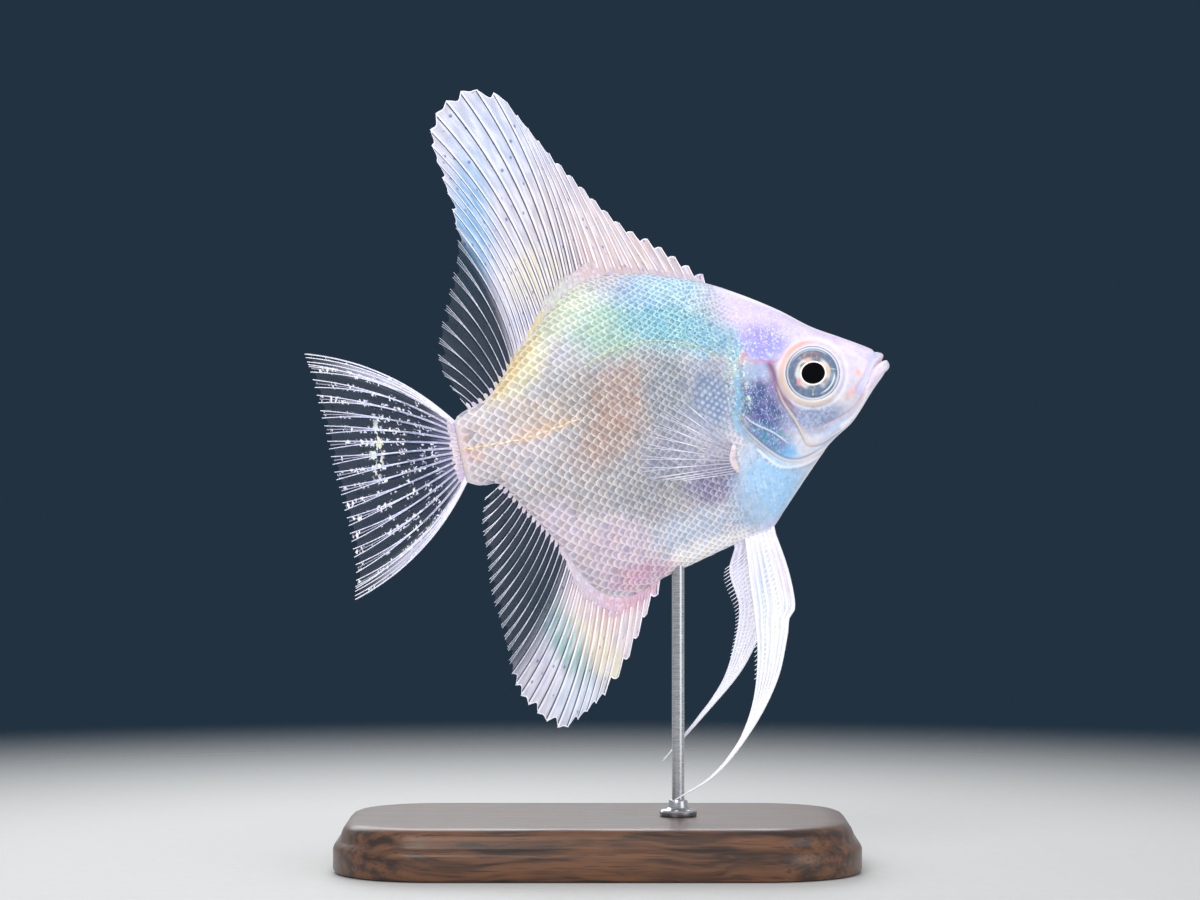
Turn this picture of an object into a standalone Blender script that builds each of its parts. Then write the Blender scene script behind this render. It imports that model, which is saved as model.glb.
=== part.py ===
"""Freshwater angelfish, a life-size still model on a plain display stand.

The fish is drawn in its own frame, in millimetres: x runs forward from the root of the tail fin to the
snout, y to its left and z to its back. One empty, fish_pose, then pitches it head up over the stand.
The body is one smooth loft, parted into head, jaws, gill covers, trunk and tail stalk by thin cuts.
Each fin is a ribbed fan whose columns run along its spines and rays.
"""

import math

import bmesh
import bpy
from mathutils import Vector

MM = 0.001

# Pose and stand, in millimetres and degrees
PITCH = 12.0
FISH_AT = (-21.4, 0.0, 66.9)
GAP = 0.3
BASE_LENGTH, BASE_DEPTH, BASE_HEIGHT = 84.0, 50.0, 8.0
BASE_CORNER, BASE_EDGE = 16.0, 1.2
ROD_RADIUS, ROD_X, ROD_TOP = 1.0, 13.0, 53.0

# Body: (distance forward, height) along its upper and lower outline
BACK = [(-0.8, 5.2), (1.0, 6.3), (4.9, 7.5), (7.9, 9.9), (11.6, 14.0), (16.2, 17.8), (20.1, 21.0),
        (23.8, 22.7), (27.2, 23.1), (31.0, 22.8), (36.7, 21.2), (43.2, 18.7), (48.7, 15.6), (54.4, 11.7),
        (58.8, 8.1), (63.0, 5.5), (66.5, 3.3), (68.4, 1.9), (69.4, 0.8), (69.9, 0.1), (70.1, -0.5)]
BELLY = [(-0.8, -5.2), (1.0, -6.1), (4.7, -6.8), (6.8, -10.3), (9.3, -14.1), (12.1, -19.1), (14.5, -24.3),
         (17.2, -27.5), (20.2, -28.7), (23.6, -28.2), (26.8, -27.0), (33.4, -25.4), (38.5, -24.2),
         (42.5, -23.4), (45.7, -22.9), (48.5, -20.3), (53.7, -15.2), (58.2, -11.1), (62.2, -8.6),
         (64.8, -6.0), (67.1, -3.7), (69.0, -2.0), (69.8, -1.3), (70.1, -0.7)]
# (distance forward, half of the body's width) and (distance forward, height where it is widest)
HALF_WIDTH = [(-0.8, 1.1), (2.0, 1.6), (6.0, 2.1), (12.0, 3.0), (20.0, 4.3), (30.0, 5.3), (40.0, 5.9),
              (47.0, 6.1), (53.0, 5.8), (58.0, 5.1), (62.5, 4.0), (66.0, 2.9), (68.5, 1.9), (69.6, 1.2),
              (70.1, 0.35)]
WIDEST_AT = [(-0.8, 0.0), (10.0, 0.0), (30.0, -1.5), (45.0, -1.5), (57.0, 0.0), (65.0, -0.8), (70.1, -0.6)]
KEEL = 1.2
RING = 24
STATIONS = [-0.8, 0.8, 2.6, 4.6, 6.3, 8.2, 10.2, 12.4, 14.6, 17.0, 19.6, 22.4, 25.4, 28.4, 31.6, 34.8, 38.0,
            41.0, 43.8, 46.4, 48.8, 51.2, 53.6, 56.0, 58.3, 60.4, 62.4, 64.2, 65.8, 67.1, 68.2, 69.0, 69.6,
            69.95, 70.1]

# Cuts between the body's pieces. The cutters reach WIDE past the body on each side and TALL above it.
WIDE, TALL = 20.0, 40.0
STALK_CUT = 6.4
GILL_MARGIN = [(49.6, 6.4), (47.4, 5.4), (45.6, 2.6), (44.3, -0.6), (43.5, -4.5), (44.1, -8.2), (45.7, -10.8),
               (48.3, -12.6), (51.5, -13.4), (54.9, -13.1)]
HEAD_LINE = [(46.0, 30.0), (47.2, 12.0)] + GILL_MARGIN[1:] + [(57.6, -12.4), (60.5, -15.0)]
PREOPERCLE = [(50.6, 4.6), (50.7, 0.3), (51.9, -4.0), (53.2, -7.4), (54.2, -10.2), (56.4, -11.0)]
GILL_COVER_DEPTH = 3.2
MOUTH = [(72.0, 0.1), (69.2, -0.1), (67.4, -0.7), (66.1, -1.8), (65.2, -3.1), (64.5, -4.6)]
SNOUT_LINE = [(69.6, 4.0), (67.5, 2.4), (65.4, 0.2), (64.0, -2.2), (63.2, -4.8)]
JAW_ANGLE = [(62.4, -6.4), (62.9, -10.0), (72.0, -10.0)]

# Eyes: centre on the right side, and half sizes along, across and up
EYE_AT = (57.2, 3.9, 0.5)
EYE_SIZE = (4.45, 2.4, 4.45)

# Fins: the tips of their spines and rays, and the stretch of the body's outline that they grow from.
# Half thicknesses are at the root, on a ray and in the membrane between two.
BASE_HALF, RAY_HALF, MEMBRANE_HALF = 0.7, 0.36, 0.26
DORSAL_SPINE_TIPS = [(43.4, 19.9), (41.5, 21.6), (38.9, 24.3), (36.1, 27.1), (32.7, 29.9), (29.5, 34.2),
                     (25.7, 40.2), (23.2, 44.2)]
DORSAL_RAY_TIPS = [(22.5, 44.6), (20.0, 50.3), (17.7, 54.7), (16.1, 56.0), (11.6, 57.2), (7.3, 55.2),
                   (5.0, 51.6), (5.3, 45.5), (6.0, 39.5), (5.6, 32.5), (3.2, 26.4), (0.2, 19.8),
                   (-1.1, 15.2), (-0.5, 11.6), (1.2, 8.0)]
DORSAL_SPINES, DORSAL_SPINE_ROOTS = 13, (43.6, 27.2)
DORSAL_RAYS, DORSAL_RAY_ROOTS = 27, (26.6, 2.4)
ANAL_SPINE_TIPS = [(25.6, -29.2), (23.2, -31.9), (20.2, -36.4), (16.9, -40.6), (13.8, -43.4)]
ANAL_RAY_TIPS = [(13.1, -43.9), (9.9, -45.7), (6.0, -47.3), (2.6, -44.2), (0.2, -39.8), (-0.2, -34.0),
                 (-0.3, -28.5), (-0.6, -22.8), (0.0, -17.2), (0.3, -12.0), (1.6, -8.2)]
ANAL_SPINES, ANAL_SPINE_ROOTS = 6, (26.6, 20.4)
ANAL_RAYS, ANAL_RAY_ROOTS = 26, (19.7, 5.0)
CAUDAL_ROOTS = [(-1.15, 5.5), (-1.3, 2.8), (-1.4, 0.0), (-1.3, -2.8), (-1.15, -5.4)]
CAUDAL_TIPS = [(-22.2, 20.8), (-21.8, 16.6), (-21.6, 9.0), (-21.4, 0.5), (-21.0, -7.5), (-21.2, -14.5),
               (-22.5, -20.0)]
CAUDAL_RAYS = 17
PELVIC_RIGHT = ([(45.9, -23.6), (46.6, -29.0), (46.6, -33.5), (45.0, -37.6), (41.4, -46.2), (36.1, -52.9),
                 (28.8, -59.0), (21.0, -61.9)],
                [(41.4, -24.0), (40.8, -29.5), (40.3, -35.5), (39.4, -42.0), (37.0, -49.2), (33.2, -54.8),
                 (27.4, -59.3), (20.6, -61.7)])
PELVIC_LEFT = ([(45.0, -23.6), (44.2, -30.0), (42.4, -35.2), (40.0, -39.3), (35.9, -44.3), (29.2, -49.7),
                (20.8, -56.0)],
               [(39.6, -24.5), (38.0, -28.0), (38.3, -34.0), (36.2, -39.9), (32.9, -45.4), (27.3, -50.4),
                (20.5, -55.7)])
PELVIC_BASE_OUT, PELVIC_TIP_OUT = 1.3, 4.6
PECTORAL_ROOTS = [(42.2, -8.0), (41.6, -10.4), (42.1, -12.6)]
PECTORAL_TIPS = [(35.6, 1.0), (31.0, -1.6), (28.4, -4.8), (27.0, -8.4), (27.6, -10.4), (33.6, -12.0)]
PECTORAL_RAYS, PECTORAL_OPENING = 11, 9.0
SWAY = 0.9

# Finish: (colour, roughness, metallic)
PEARL = ((0.80, 0.80, 0.82), 0.35, 0.10)
HEAD_PEARL = ((0.76, 0.72, 0.80), 0.35, 0.10)
GILL_BLUE = ((0.42, 0.52, 0.62), 0.30, 0.20)
LIP = ((0.80, 0.68, 0.70), 0.40, 0.00)
EYE_DARK = ((0.12, 0.12, 0.13), 0.08, 0.00)
FIN = ((0.78, 0.80, 0.88), 0.40, 0.00)
WALNUT = ((0.10, 0.055, 0.03), 0.45, 0.00)
STEEL = ((0.62, 0.62, 0.62), 0.25, 1.00)


def clear_scene():
    for old in list(bpy.data.objects):
        bpy.data.objects.remove(old, do_unlink=True)


def material(name, finish):
    """A Principled material, made once for each name."""
    found = bpy.data.materials.get(name)
    if found:
        return found
    colour, roughness, metallic = finish
    made = bpy.data.materials.new(name)
    made.use_nodes = True
    shader = made.node_tree.nodes["Principled BSDF"]
    shader.inputs["Base Color"].default_value = (*colour, 1.0)
    shader.inputs["Roughness"].default_value = roughness
    shader.inputs["Metallic"].default_value = metallic
    made.diffuse_color = (*colour, 1.0)
    return made


def smooth(knots, x):
    """The value at x of a smooth curve through (x, value) knots, held level past its ends."""
    if x <= knots[0][0]:
        return knots[0][1]
    if x >= knots[-1][0]:
        return knots[-1][1]
    i = max(k for k in range(len(knots) - 1) if knots[k][0] <= x)

    def slope(k):
        a, b = max(k - 1, 0), min(k + 1, len(knots) - 1)
        return (knots[b][1] - knots[a][1]) / (knots[b][0] - knots[a][0])

    (x0, y0), (x1, y1) = knots[i], knots[i + 1]
    run = x1 - x0
    t = (x - x0) / run
    start = (1 + 2 * t) * (1 - t) ** 2 * y0 + t * (1 - t) ** 2 * run * slope(i)
    return start + t * t * (3 - 2 * t) * y1 + t * t * (t - 1) * run * slope(i + 1)


def along(points, share):
    """The point at this share of the way along a smooth line through the points."""
    marks = [0.0]
    for a, b in zip(points, points[1:]):
        marks.append(marks[-1] + math.dist(a, b))
    x = share * marks[-1]
    return Vector([smooth(list(zip(marks, values)), x) for values in zip(*points)])


def offset(points, distance):
    """An open line moved sideways, to the left of its direction."""
    moved = []
    for i, (x, z) in enumerate(points):
        before, after = points[max(i - 1, 0)], points[min(i + 1, len(points) - 1)]
        way = Vector((after[0] - before[0], after[1] - before[1])).normalized()
        moved.append((x - way.y * distance, z + way.x * distance))
    return moved


def flank(x, z):
    """Half the body's width at a place on its side."""
    level = smooth(WIDEST_AT, x)
    reach = smooth(BACK, x) - level if z > level else level - smooth(BELLY, x)
    share = min(abs(z - level) / max(reach, 0.01), 1.0)
    return smooth(HALF_WIDTH, x) * (1 - share * share) ** (KEEL / 2)


def body_ring(x):
    """The points round the body at x, from the back down its right side and up its left."""
    level, half = smooth(WIDEST_AT, x), smooth(HALF_WIDTH, x)
    points = []
    for i in range(RING):
        turn = 2 * math.pi * i / RING
        up, out = math.cos(turn), math.sin(turn)
        reach = smooth(BACK, x) - level if up > 0 else level - smooth(BELLY, x)
        points.append(Vector((x, -half * math.copysign(abs(out) ** KEEL, out), level + reach * up)))
    return points


def made_object(name, mesh_data, finish=None, smooth_angle=40):
    """An object of this bmesh, which is in millimetres, with its own finish or none for a cutter."""
    mesh_data.normal_update()
    bmesh.ops.recalc_face_normals(mesh_data, faces=mesh_data.faces)
    bmesh.ops.scale(mesh_data, vec=Vector((MM, MM, MM)), verts=mesh_data.verts)
    mesh = bpy.data.meshes.new(name)
    mesh_data.to_mesh(mesh)
    mesh_data.free()
    made = bpy.data.objects.new(name, mesh)
    bpy.context.scene.collection.objects.link(made)
    if finish is None:
        made.hide_render = True
        made.display_type = "WIRE"
    else:
        mesh.materials.append(material(*finish))
        mesh.shade_smooth()
        mesh.set_sharp_from_angle(angle=math.radians(smooth_angle))
    return made


def body_mesh():
    """The whole body, closed at the snout and at the root of the tail fin."""
    made = bmesh.new()
    rings = [[made.verts.new(point) for point in body_ring(x)] for x in STATIONS]
    for ring, after in zip(rings, rings[1:]):
        for i in range(RING):
            j = (i + 1) % RING
            made.faces.new((ring[i], ring[j], after[j], after[i]))
    made.faces.new(rings[0])
    made.faces.new(rings[-1])
    return made


def prism(name, outline, low, high):
    """A cutter: an outline on the fish's side, drawn out across it from low to high."""
    made = bmesh.new()
    near = [made.verts.new((x, low, z)) for x, z in outline]
    far = [made.verts.new((x, high, z)) for x, z in outline]
    made.faces.new(near)
    made.faces.new(far)
    for i in range(len(outline)):
        j = (i + 1) % len(outline)
        made.faces.new((near[i], near[j], far[j], far[i]))
    return made_object(name, made)


def spheroid(name, side, grow=0.0, finish=None):
    """An eye on one side, or the socket for it when grown."""
    made = bmesh.new()
    bmesh.ops.create_uvsphere(made, u_segments=16, v_segments=8, radius=1.0)
    x, y, z = EYE_AT
    size = Vector(EYE_SIZE) + Vector((grow, grow, grow))
    for vert in made.verts:
        # The sphere's poles lie across the fish, so that the eye's rings are round.
        vert.co = Vector((x + vert.co.x * size.x, side * y + vert.co.z * size.y, z + vert.co.y * size.z))
    return made_object(name, made, finish)


def boolean(target, cutter, operation):
    change = target.modifiers.new(cutter.name, "BOOLEAN")
    change.operation = operation
    change.solver = "EXACT"
    change.object = cutter


def body_piece(name, finish, keep, *removed):
    """One piece of the body: what lies inside keep, less the cutters removed."""
    made = made_object(name, body_mesh(), finish)
    boolean(made, keep, "INTERSECT")
    for cutter in removed:
        boolean(made, cutter, "DIFFERENCE")
    return made


def body_pieces():
    """Head, jaws, gill covers, eyes, trunk and tail stalk."""
    front, rear = STALK_CUT + GAP / 2, STALK_CUT - GAP / 2
    stalk = prism("cut_stalk", [(-5, -TALL), (rear, -TALL), (rear, TALL), (-5, TALL)], -WIDE, WIDE)
    rear_line = offset(HEAD_LINE, -GAP / 2)
    trunk = prism("cut_trunk", rear_line + [(front, -TALL), (front, TALL)], -WIDE, WIDE)
    head = prism("cut_head", offset(HEAD_LINE, GAP / 2) + [(80, -20), (80, 30)], -WIDE, WIDE)
    jaws = prism("cut_jaws", [(72, 4.0)] + offset(SNOUT_LINE + JAW_ANGLE[:2], -GAP) + [(72, -12)],
                 -WIDE, WIDE)
    upper = prism("cut_upper_jaw", offset(MOUTH, -GAP / 2) + SNOUT_LINE[::-1] + [(72, 4.0)], -WIDE, WIDE)
    lower = prism("cut_lower_jaw", offset(MOUTH, GAP / 2) + JAW_ANGLE, -WIDE, WIDE)
    rod = rod_cutter()
    pieces = [
        body_piece("tail_stalk", ("pearl_skin", PEARL), stalk),
        body_piece("trunk", ("pearl_skin", PEARL), trunk, rod),
        body_piece("upper_jaw", ("lip", LIP), upper),
        body_piece("lower_jaw", ("lip", LIP), lower),
    ]
    cover = offset(GILL_MARGIN, GAP / 2) + PREOPERCLE[::-1]
    pocket = offset(GILL_MARGIN, -GAP) + offset(PREOPERCLE, GAP)[::-1]
    taken = [jaws]
    for side, word in ((-1, "right"), (1, "left")):
        inner, outer = sorted((side * GILL_COVER_DEPTH, side * WIDE))
        plate = prism("cut_gill_" + word, cover, inner, outer)
        inner, outer = sorted((side * (GILL_COVER_DEPTH - GAP), side * WIDE))
        taken.append(prism("cut_pocket_" + word, pocket, inner, outer))
        taken.append(spheroid("cut_socket_" + word, side, grow=GAP))
        pieces.append(body_piece("gill_cover_" + word, ("gill_cover", GILL_BLUE), plate))
        pieces.append(spheroid("eye_" + word, side, finish=("eye", EYE_DARK)))
    pieces.append(body_piece("head", ("head_skin", HEAD_PEARL), head, *taken))
    return pieces


def rod_cutter():
    """The socket for the stand's rod, in the fish's own frame."""
    made = bmesh.new()
    bmesh.ops.create_cone(made, segments=16, radius1=ROD_RADIUS + GAP, radius2=ROD_RADIUS + GAP,
                          depth=ROD_TOP, cap_ends=True)
    tilt = math.radians(PITCH)
    for vert in made.verts:
        x = vert.co.x + ROD_X - FISH_AT[0]
        z = vert.co.z + ROD_TOP / 2 + GAP - FISH_AT[2]
        vert.co.x = x * math.cos(tilt) + z * math.sin(tilt)
        vert.co.z = z * math.cos(tilt) - x * math.sin(tilt)
    return made_object("cut_rod", made)


def sheet(name, columns, finish):
    """A closed sheet. Each column is a list of (x, y, z, half thickness) from the fin's root to its edge."""
    made = bmesh.new()
    sides = []
    for side in (-1, 1):
        sides.append([[made.verts.new((x, y + side * half, z)) for x, y, z, half in column]
                      for column in columns])
    for grid in sides:
        for near, far in zip(grid, grid[1:]):
            for i in range(len(near) - 1):
                made.faces.new((near[i], near[i + 1], far[i + 1], far[i]))
    right, left = sides
    rims = [[(column[i], other[i]) for column, other in zip(right, left)] for i in (0, -1)]
    rims += [list(zip(right[i], left[i])) for i in (0, -1)]
    for rim in rims:
        for (a, b), (c, d) in zip(rim, rim[1:]):
            made.faces.new((a, b, d, c))
    return made_object(name, made, finish, smooth_angle=50)


def ray_line(root, tip, bow, rows, sway, root_half, end_half):
    """One column of a fin, from root to tip, bowed to its right by a share of its length."""
    way = tip - root
    middle = root + way / 2 + Vector((way.y, -way.x)) * bow
    column = []
    for i in range(rows + 1):
        t = i / rows
        point = root * (1 - t) ** 2 + middle * 2 * t * (1 - t) + tip * t * t
        half = end_half + (root_half - end_half) * max(0.0, 1 - 3 * t) ** 1.5
        column.append((point.x, sway * t * t, point.y, half))
    return column


def fan(name, root_at, tip_at, count, rows, bow, notch, sway_turns=0.0, root_half=BASE_HALF):
    """A fin of count rays. root_at and tip_at give a point for each share of the way from front to rear."""
    columns = []
    steps = 2 * (count - 1)
    for i in range(steps + 1):
        share = i / steps
        on_ray = i % 2 == 0
        root, tip = root_at(share), tip_at(share)
        if not on_ray:
            tip = tip + (root - tip).normalized() * notch
        sway = SWAY * math.sin(2 * math.pi * sway_turns * share)
        end_half = RAY_HALF if on_ray else MEMBRANE_HALF
        columns.append(ray_line(root, tip, bow(share), rows, sway, root_half, end_half))
    return sheet(name, columns, ("fin", FIN))


def edge_point(outline, x, outward):
    """A fin's root: a point just off the body's outline, at distance x forward."""
    step = 0.2
    rise = (smooth(outline, x + step) - smooth(outline, x - step)) / (2 * step)
    normal = Vector((-rise, 1.0)).normalized() * outward
    return Vector((x, smooth(outline, x))) + normal * (GAP + 0.05)


def rooted(outline, span, outward):
    """Root points evenly spaced along the body's outline between two distances forward."""
    front, rear = span
    line = [edge_point(outline, front + (rear - front) * i / 12, outward) for i in range(13)]
    return lambda share: along([tuple(point) for point in line], share)


def median_fins():
    """Dorsal, anal and tail fin."""
    return [
        fan("dorsal_fin_spines", rooted(BACK, DORSAL_SPINE_ROOTS, 1), lambda u: along(DORSAL_SPINE_TIPS, u),
            DORSAL_SPINES, 4, lambda u: 0.05 * u, 1.1),
        fan("dorsal_fin_rays", rooted(BACK, DORSAL_RAY_ROOTS, 1), lambda u: along(DORSAL_RAY_TIPS, u),
            DORSAL_RAYS, 5, lambda u: 0.05 + 0.30 * u * (1 - u), 0.6, sway_turns=0.8),
        fan("anal_fin_spines", rooted(BELLY, ANAL_SPINE_ROOTS, -1), lambda u: along(ANAL_SPINE_TIPS, u),
            ANAL_SPINES, 4, lambda u: -0.05 * u, 1.0),
        fan("anal_fin_rays", rooted(BELLY, ANAL_RAY_ROOTS, -1), lambda u: along(ANAL_RAY_TIPS, u),
            ANAL_RAYS, 5, lambda u: -0.05 - 0.20 * u * (1 - u), 0.6, sway_turns=0.8),
        fan("caudal_fin", lambda u: along(CAUDAL_ROOTS, u), lambda u: along(CAUDAL_TIPS, u),
            CAUDAL_RAYS, 6, lambda u: 0.17 * (1 - 2 * u), 0.7, sway_turns=0.9, root_half=0.9),
    ]


def pelvic_fin(name, edges, side):
    """A blade between a front and a rear edge, drawn out to a thread, with the rays as ribs along it."""
    front, rear = edges
    ribs, rows = 9, 11
    columns = []
    for i in range(ribs):
        share = i / (ribs - 1)
        half = RAY_HALF if i % 2 == 0 else MEMBRANE_HALF
        column = []
        for j in range(rows + 1):
            t = j / rows
            point = along(front, t).lerp(along(rear, t), share)
            out = side * (PELVIC_BASE_OUT + (PELVIC_TIP_OUT - PELVIC_BASE_OUT) * t)
            column.append((point.x, out, point.y, half))
        columns.append(column)
    return sheet(name, columns, ("fin", FIN))


def pectoral_fin(name, side):
    """A fan that springs from the flank behind the gill cover and opens back and out."""
    rows = 4
    spread = math.tan(math.radians(PECTORAL_OPENING))
    columns = []
    for i in range(2 * PECTORAL_RAYS - 1):
        share = i / (2 * PECTORAL_RAYS - 2)
        root, tip = along(PECTORAL_ROOTS, share), along(PECTORAL_TIPS, share)
        end_half = RAY_HALF if i % 2 == 0 else MEMBRANE_HALF
        out = flank(*root) + GAP + BASE_HALF + 0.1
        column = []
        for x, _, z, half in ray_line(root, tip, 0.0, rows, 0.0, BASE_HALF, end_half):
            column.append((x, side * (out + math.dist((x, z), root) * spread), z, half))
        columns.append(column)
    return sheet(name, columns, ("fin", FIN))


def paired_fins():
    pieces = [pelvic_fin("pelvic_fin_right", PELVIC_RIGHT, -1), pelvic_fin("pelvic_fin_left", PELVIC_LEFT, 1)]
    for side, word in ((-1, "right"), (1, "left")):
        pieces.append(pectoral_fin("pectoral_fin_" + word, side))
    return pieces


def stand_base():
    """A flat base with round corners and a softened upper edge."""
    made = bmesh.new()
    corner_steps = 7
    outline = []
    for quarter, (sx, sy) in enumerate(((1, 1), (-1, 1), (-1, -1), (1, -1))):
        centre = (sx * (BASE_LENGTH / 2 - BASE_CORNER), sy * (BASE_DEPTH / 2 - BASE_CORNER))
        for i in range(corner_steps + 1):
            turn = math.pi / 2 * (quarter + i / corner_steps)
            outline.append((centre[0] + BASE_CORNER * math.cos(turn), centre[1] + BASE_CORNER * math.sin(turn)))
    face = made.faces.new([made.verts.new((x, y, 0.0)) for x, y in outline])
    top = bmesh.ops.extrude_face_region(made, geom=[face])
    lifted = [item for item in top["geom"] if isinstance(item, bmesh.types.BMVert)]
    bmesh.ops.translate(made, vec=Vector((0, 0, BASE_HEIGHT)), verts=lifted)
    rim = [edge for edge in made.edges if all(vert.co.z > BASE_HEIGHT / 2 for vert in edge.verts)]
    bmesh.ops.bevel(made, geom=rim, offset=BASE_EDGE, segments=2, affect="EDGES", profile=0.5)
    return made_object("stand_base", made, ("walnut", WALNUT))


def stand_rod():
    """A steel rod from the base up into the belly."""
    made = bmesh.new()
    low = BASE_HEIGHT + GAP
    bmesh.ops.create_cone(made, segments=16, radius1=ROD_RADIUS, radius2=ROD_RADIUS, depth=ROD_TOP - low,
                          cap_ends=True)
    bmesh.ops.translate(made, vec=Vector((ROD_X, 0, (ROD_TOP + low) / 2)), verts=made.verts)
    return made_object("stand_rod", made, ("steel", STEEL))


def pose(pieces):
    """Hangs the fish's pieces and their cutters on one empty, and pitches it."""
    empty = bpy.data.objects.new("fish_pose", None)
    bpy.context.scene.collection.objects.link(empty)
    for piece in pieces:
        piece.parent = empty
    empty.location = Vector(FISH_AT) * MM
    empty.rotation_euler = (0.0, -math.radians(PITCH), 0.0)


def main():
    clear_scene()
    body_pieces()
    median_fins()
    paired_fins()
    pose(list(bpy.context.scene.collection.objects))
    stand_base()
    stand_rod()


main()
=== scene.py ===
"""The looks of the freshwater angelfish: one skin with its scales, fins of membrane and rays, eyes, stand,
light and camera. The fish is drawn in its own frame, as the CAD source does: millimetres, x forward from the
root of the tail fin, y to its left, z to its back. place() then puts each piece in the model's pose.
"""

import math

import bpy
import numpy as np
from mathutils import Euler, Matrix, Vector


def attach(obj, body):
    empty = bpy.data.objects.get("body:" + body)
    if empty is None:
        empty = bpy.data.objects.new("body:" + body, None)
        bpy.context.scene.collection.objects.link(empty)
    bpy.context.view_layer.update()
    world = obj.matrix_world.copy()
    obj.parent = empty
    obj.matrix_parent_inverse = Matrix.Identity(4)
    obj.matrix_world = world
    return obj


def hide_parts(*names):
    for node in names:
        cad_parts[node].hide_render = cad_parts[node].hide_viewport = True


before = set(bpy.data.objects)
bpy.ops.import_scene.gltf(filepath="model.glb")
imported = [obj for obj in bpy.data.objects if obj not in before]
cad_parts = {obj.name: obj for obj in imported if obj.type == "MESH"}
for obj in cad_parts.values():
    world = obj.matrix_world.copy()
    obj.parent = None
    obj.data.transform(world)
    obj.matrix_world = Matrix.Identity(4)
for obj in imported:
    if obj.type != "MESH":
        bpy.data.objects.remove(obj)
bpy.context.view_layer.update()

MM = 0.001
chance = np.random.default_rng(12)

# ---- Sizes shared with the CAD source, in millimetres and degrees ----
PITCH = 12.0
FISH_AT = (-21.4, 0.0, 66.9)
BASE_LENGTH, BASE_DEPTH, BASE_HEIGHT, BASE_CORNER = 84.0, 50.0, 8.0, 16.0
ROD_RADIUS, ROD_X, ROD_TOP = 1.0, 13.0, 53.0

BACK = [(-0.8, 5.2), (1.0, 6.3), (4.9, 7.5), (7.9, 9.9), (11.6, 14.0), (16.2, 17.8), (20.1, 21.0),
        (23.8, 22.7), (27.2, 23.1), (31.0, 22.8), (36.7, 21.2), (43.2, 18.7), (48.7, 15.6), (54.4, 11.7),
        (58.8, 8.1), (63.0, 5.5), (66.5, 3.3), (68.4, 1.9), (69.2, 1.0), (69.65, 0.2), (69.95, -0.25),
        (70.1, -0.6)]
BELLY = [(-0.8, -5.2), (1.0, -6.1), (4.7, -6.8), (6.8, -10.3), (9.3, -14.1), (12.1, -19.1), (14.5, -24.3),
         (17.2, -27.5), (20.2, -28.7), (23.6, -28.2), (26.8, -27.0), (33.4, -25.4), (38.5, -24.2),
         (42.5, -23.4), (45.7, -22.9), (48.5, -20.3), (53.7, -15.2), (58.2, -11.1), (62.2, -8.6),
         (64.8, -6.0), (67.1, -3.7), (69.0, -2.0), (69.8, -1.3), (70.1, -0.7)]
HALF_WIDTH = [(-0.8, 1.1), (2.0, 1.6), (6.0, 2.1), (12.0, 3.0), (20.0, 4.3), (30.0, 5.3), (40.0, 5.9),
              (47.0, 6.1), (53.0, 5.8), (58.0, 5.1), (62.5, 4.0), (66.0, 2.9), (68.5, 1.9), (69.6, 1.2),
              (70.1, 0.35)]
WIDEST_AT = [(-0.8, 0.0), (10.0, 0.0), (30.0, -1.5), (45.0, -1.5), (57.0, 0.0), (65.0, -0.8), (70.1, -0.6)]
KEEL = 1.2
TAIL_END, SNOUT_END = -0.8, 70.1
EYE_AT = (57.2, 3.9, 0.5)
EYE_SIZE = (4.45, 2.4, 4.45)

DORSAL_SPINE_TIPS = [(43.4, 19.9), (41.5, 21.6), (38.9, 24.3), (36.1, 27.1), (32.7, 29.9), (29.5, 34.2),
                     (25.7, 40.2), (23.2, 44.2)]
DORSAL_RAY_TIPS = [(22.5, 44.6), (20.0, 50.3), (17.7, 54.7), (16.1, 56.0), (11.6, 57.2), (7.3, 55.2),
                   (5.0, 51.6), (5.3, 45.5), (6.0, 39.5), (5.6, 32.5), (3.2, 26.4), (0.2, 19.8),
                   (-1.1, 15.2), (-0.5, 11.6), (1.2, 8.0)]
ANAL_SPINE_TIPS = [(25.6, -29.2), (23.2, -31.9), (20.2, -36.4), (16.9, -40.6), (13.8, -43.4)]
ANAL_RAY_TIPS = [(13.1, -43.9), (9.9, -45.7), (6.0, -47.3), (2.6, -44.2), (0.2, -39.8), (-0.2, -34.0),
                 (-0.3, -28.5), (-0.6, -22.8), (0.0, -17.2), (0.3, -12.0), (1.6, -8.2)]
CAUDAL_ROOTS = [(-1.15, 5.5), (-1.3, 2.8), (-1.4, 0.0), (-1.3, -2.8), (-1.15, -5.4)]
CAUDAL_TIPS = [(-22.2, 20.8), (-21.8, 16.6), (-21.6, 9.0), (-21.4, 0.5), (-21.0, -7.5), (-21.2, -14.5),
               (-22.5, -20.0)]
PELVIC_RIGHT = ([(45.9, -23.6), (46.6, -29.0), (46.7, -33.5), (46.3, -36.0), (45.3, -36.9), (44.4, -39.6),
                 (41.4, -46.2), (36.1, -52.9), (28.8, -59.0), (21.0, -61.9)],
                [(41.4, -24.0), (40.8, -29.5), (40.3, -35.5), (39.4, -42.0), (37.0, -49.2), (33.2, -54.8),
                 (27.4, -59.3), (20.6, -61.7)])
PELVIC_LEFT = ([(45.0, -23.6), (44.2, -30.0), (42.4, -35.2), (40.0, -39.3), (35.9, -44.3), (29.2, -49.7),
                (20.8, -56.0)],
               [(39.6, -24.5), (38.0, -28.0), (38.3, -34.0), (36.2, -39.9), (32.9, -45.4), (27.3, -50.4),
                (20.5, -55.7)])
PELVIC_BASE_OUT, PELVIC_TIP_OUT = 1.3, 4.6
PELVIC_LENGTH, PELVIC_REAR_SHORT = 42.0, 14.0
PECTORAL_ROOTS = [(42.2, -8.0), (41.6, -10.4), (42.1, -12.6)]
PECTORAL_TIPS = [(35.6, 1.0), (31.0, -1.6), (28.4, -4.8), (27.0, -8.4), (27.6, -10.4), (33.6, -12.0)]
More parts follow.
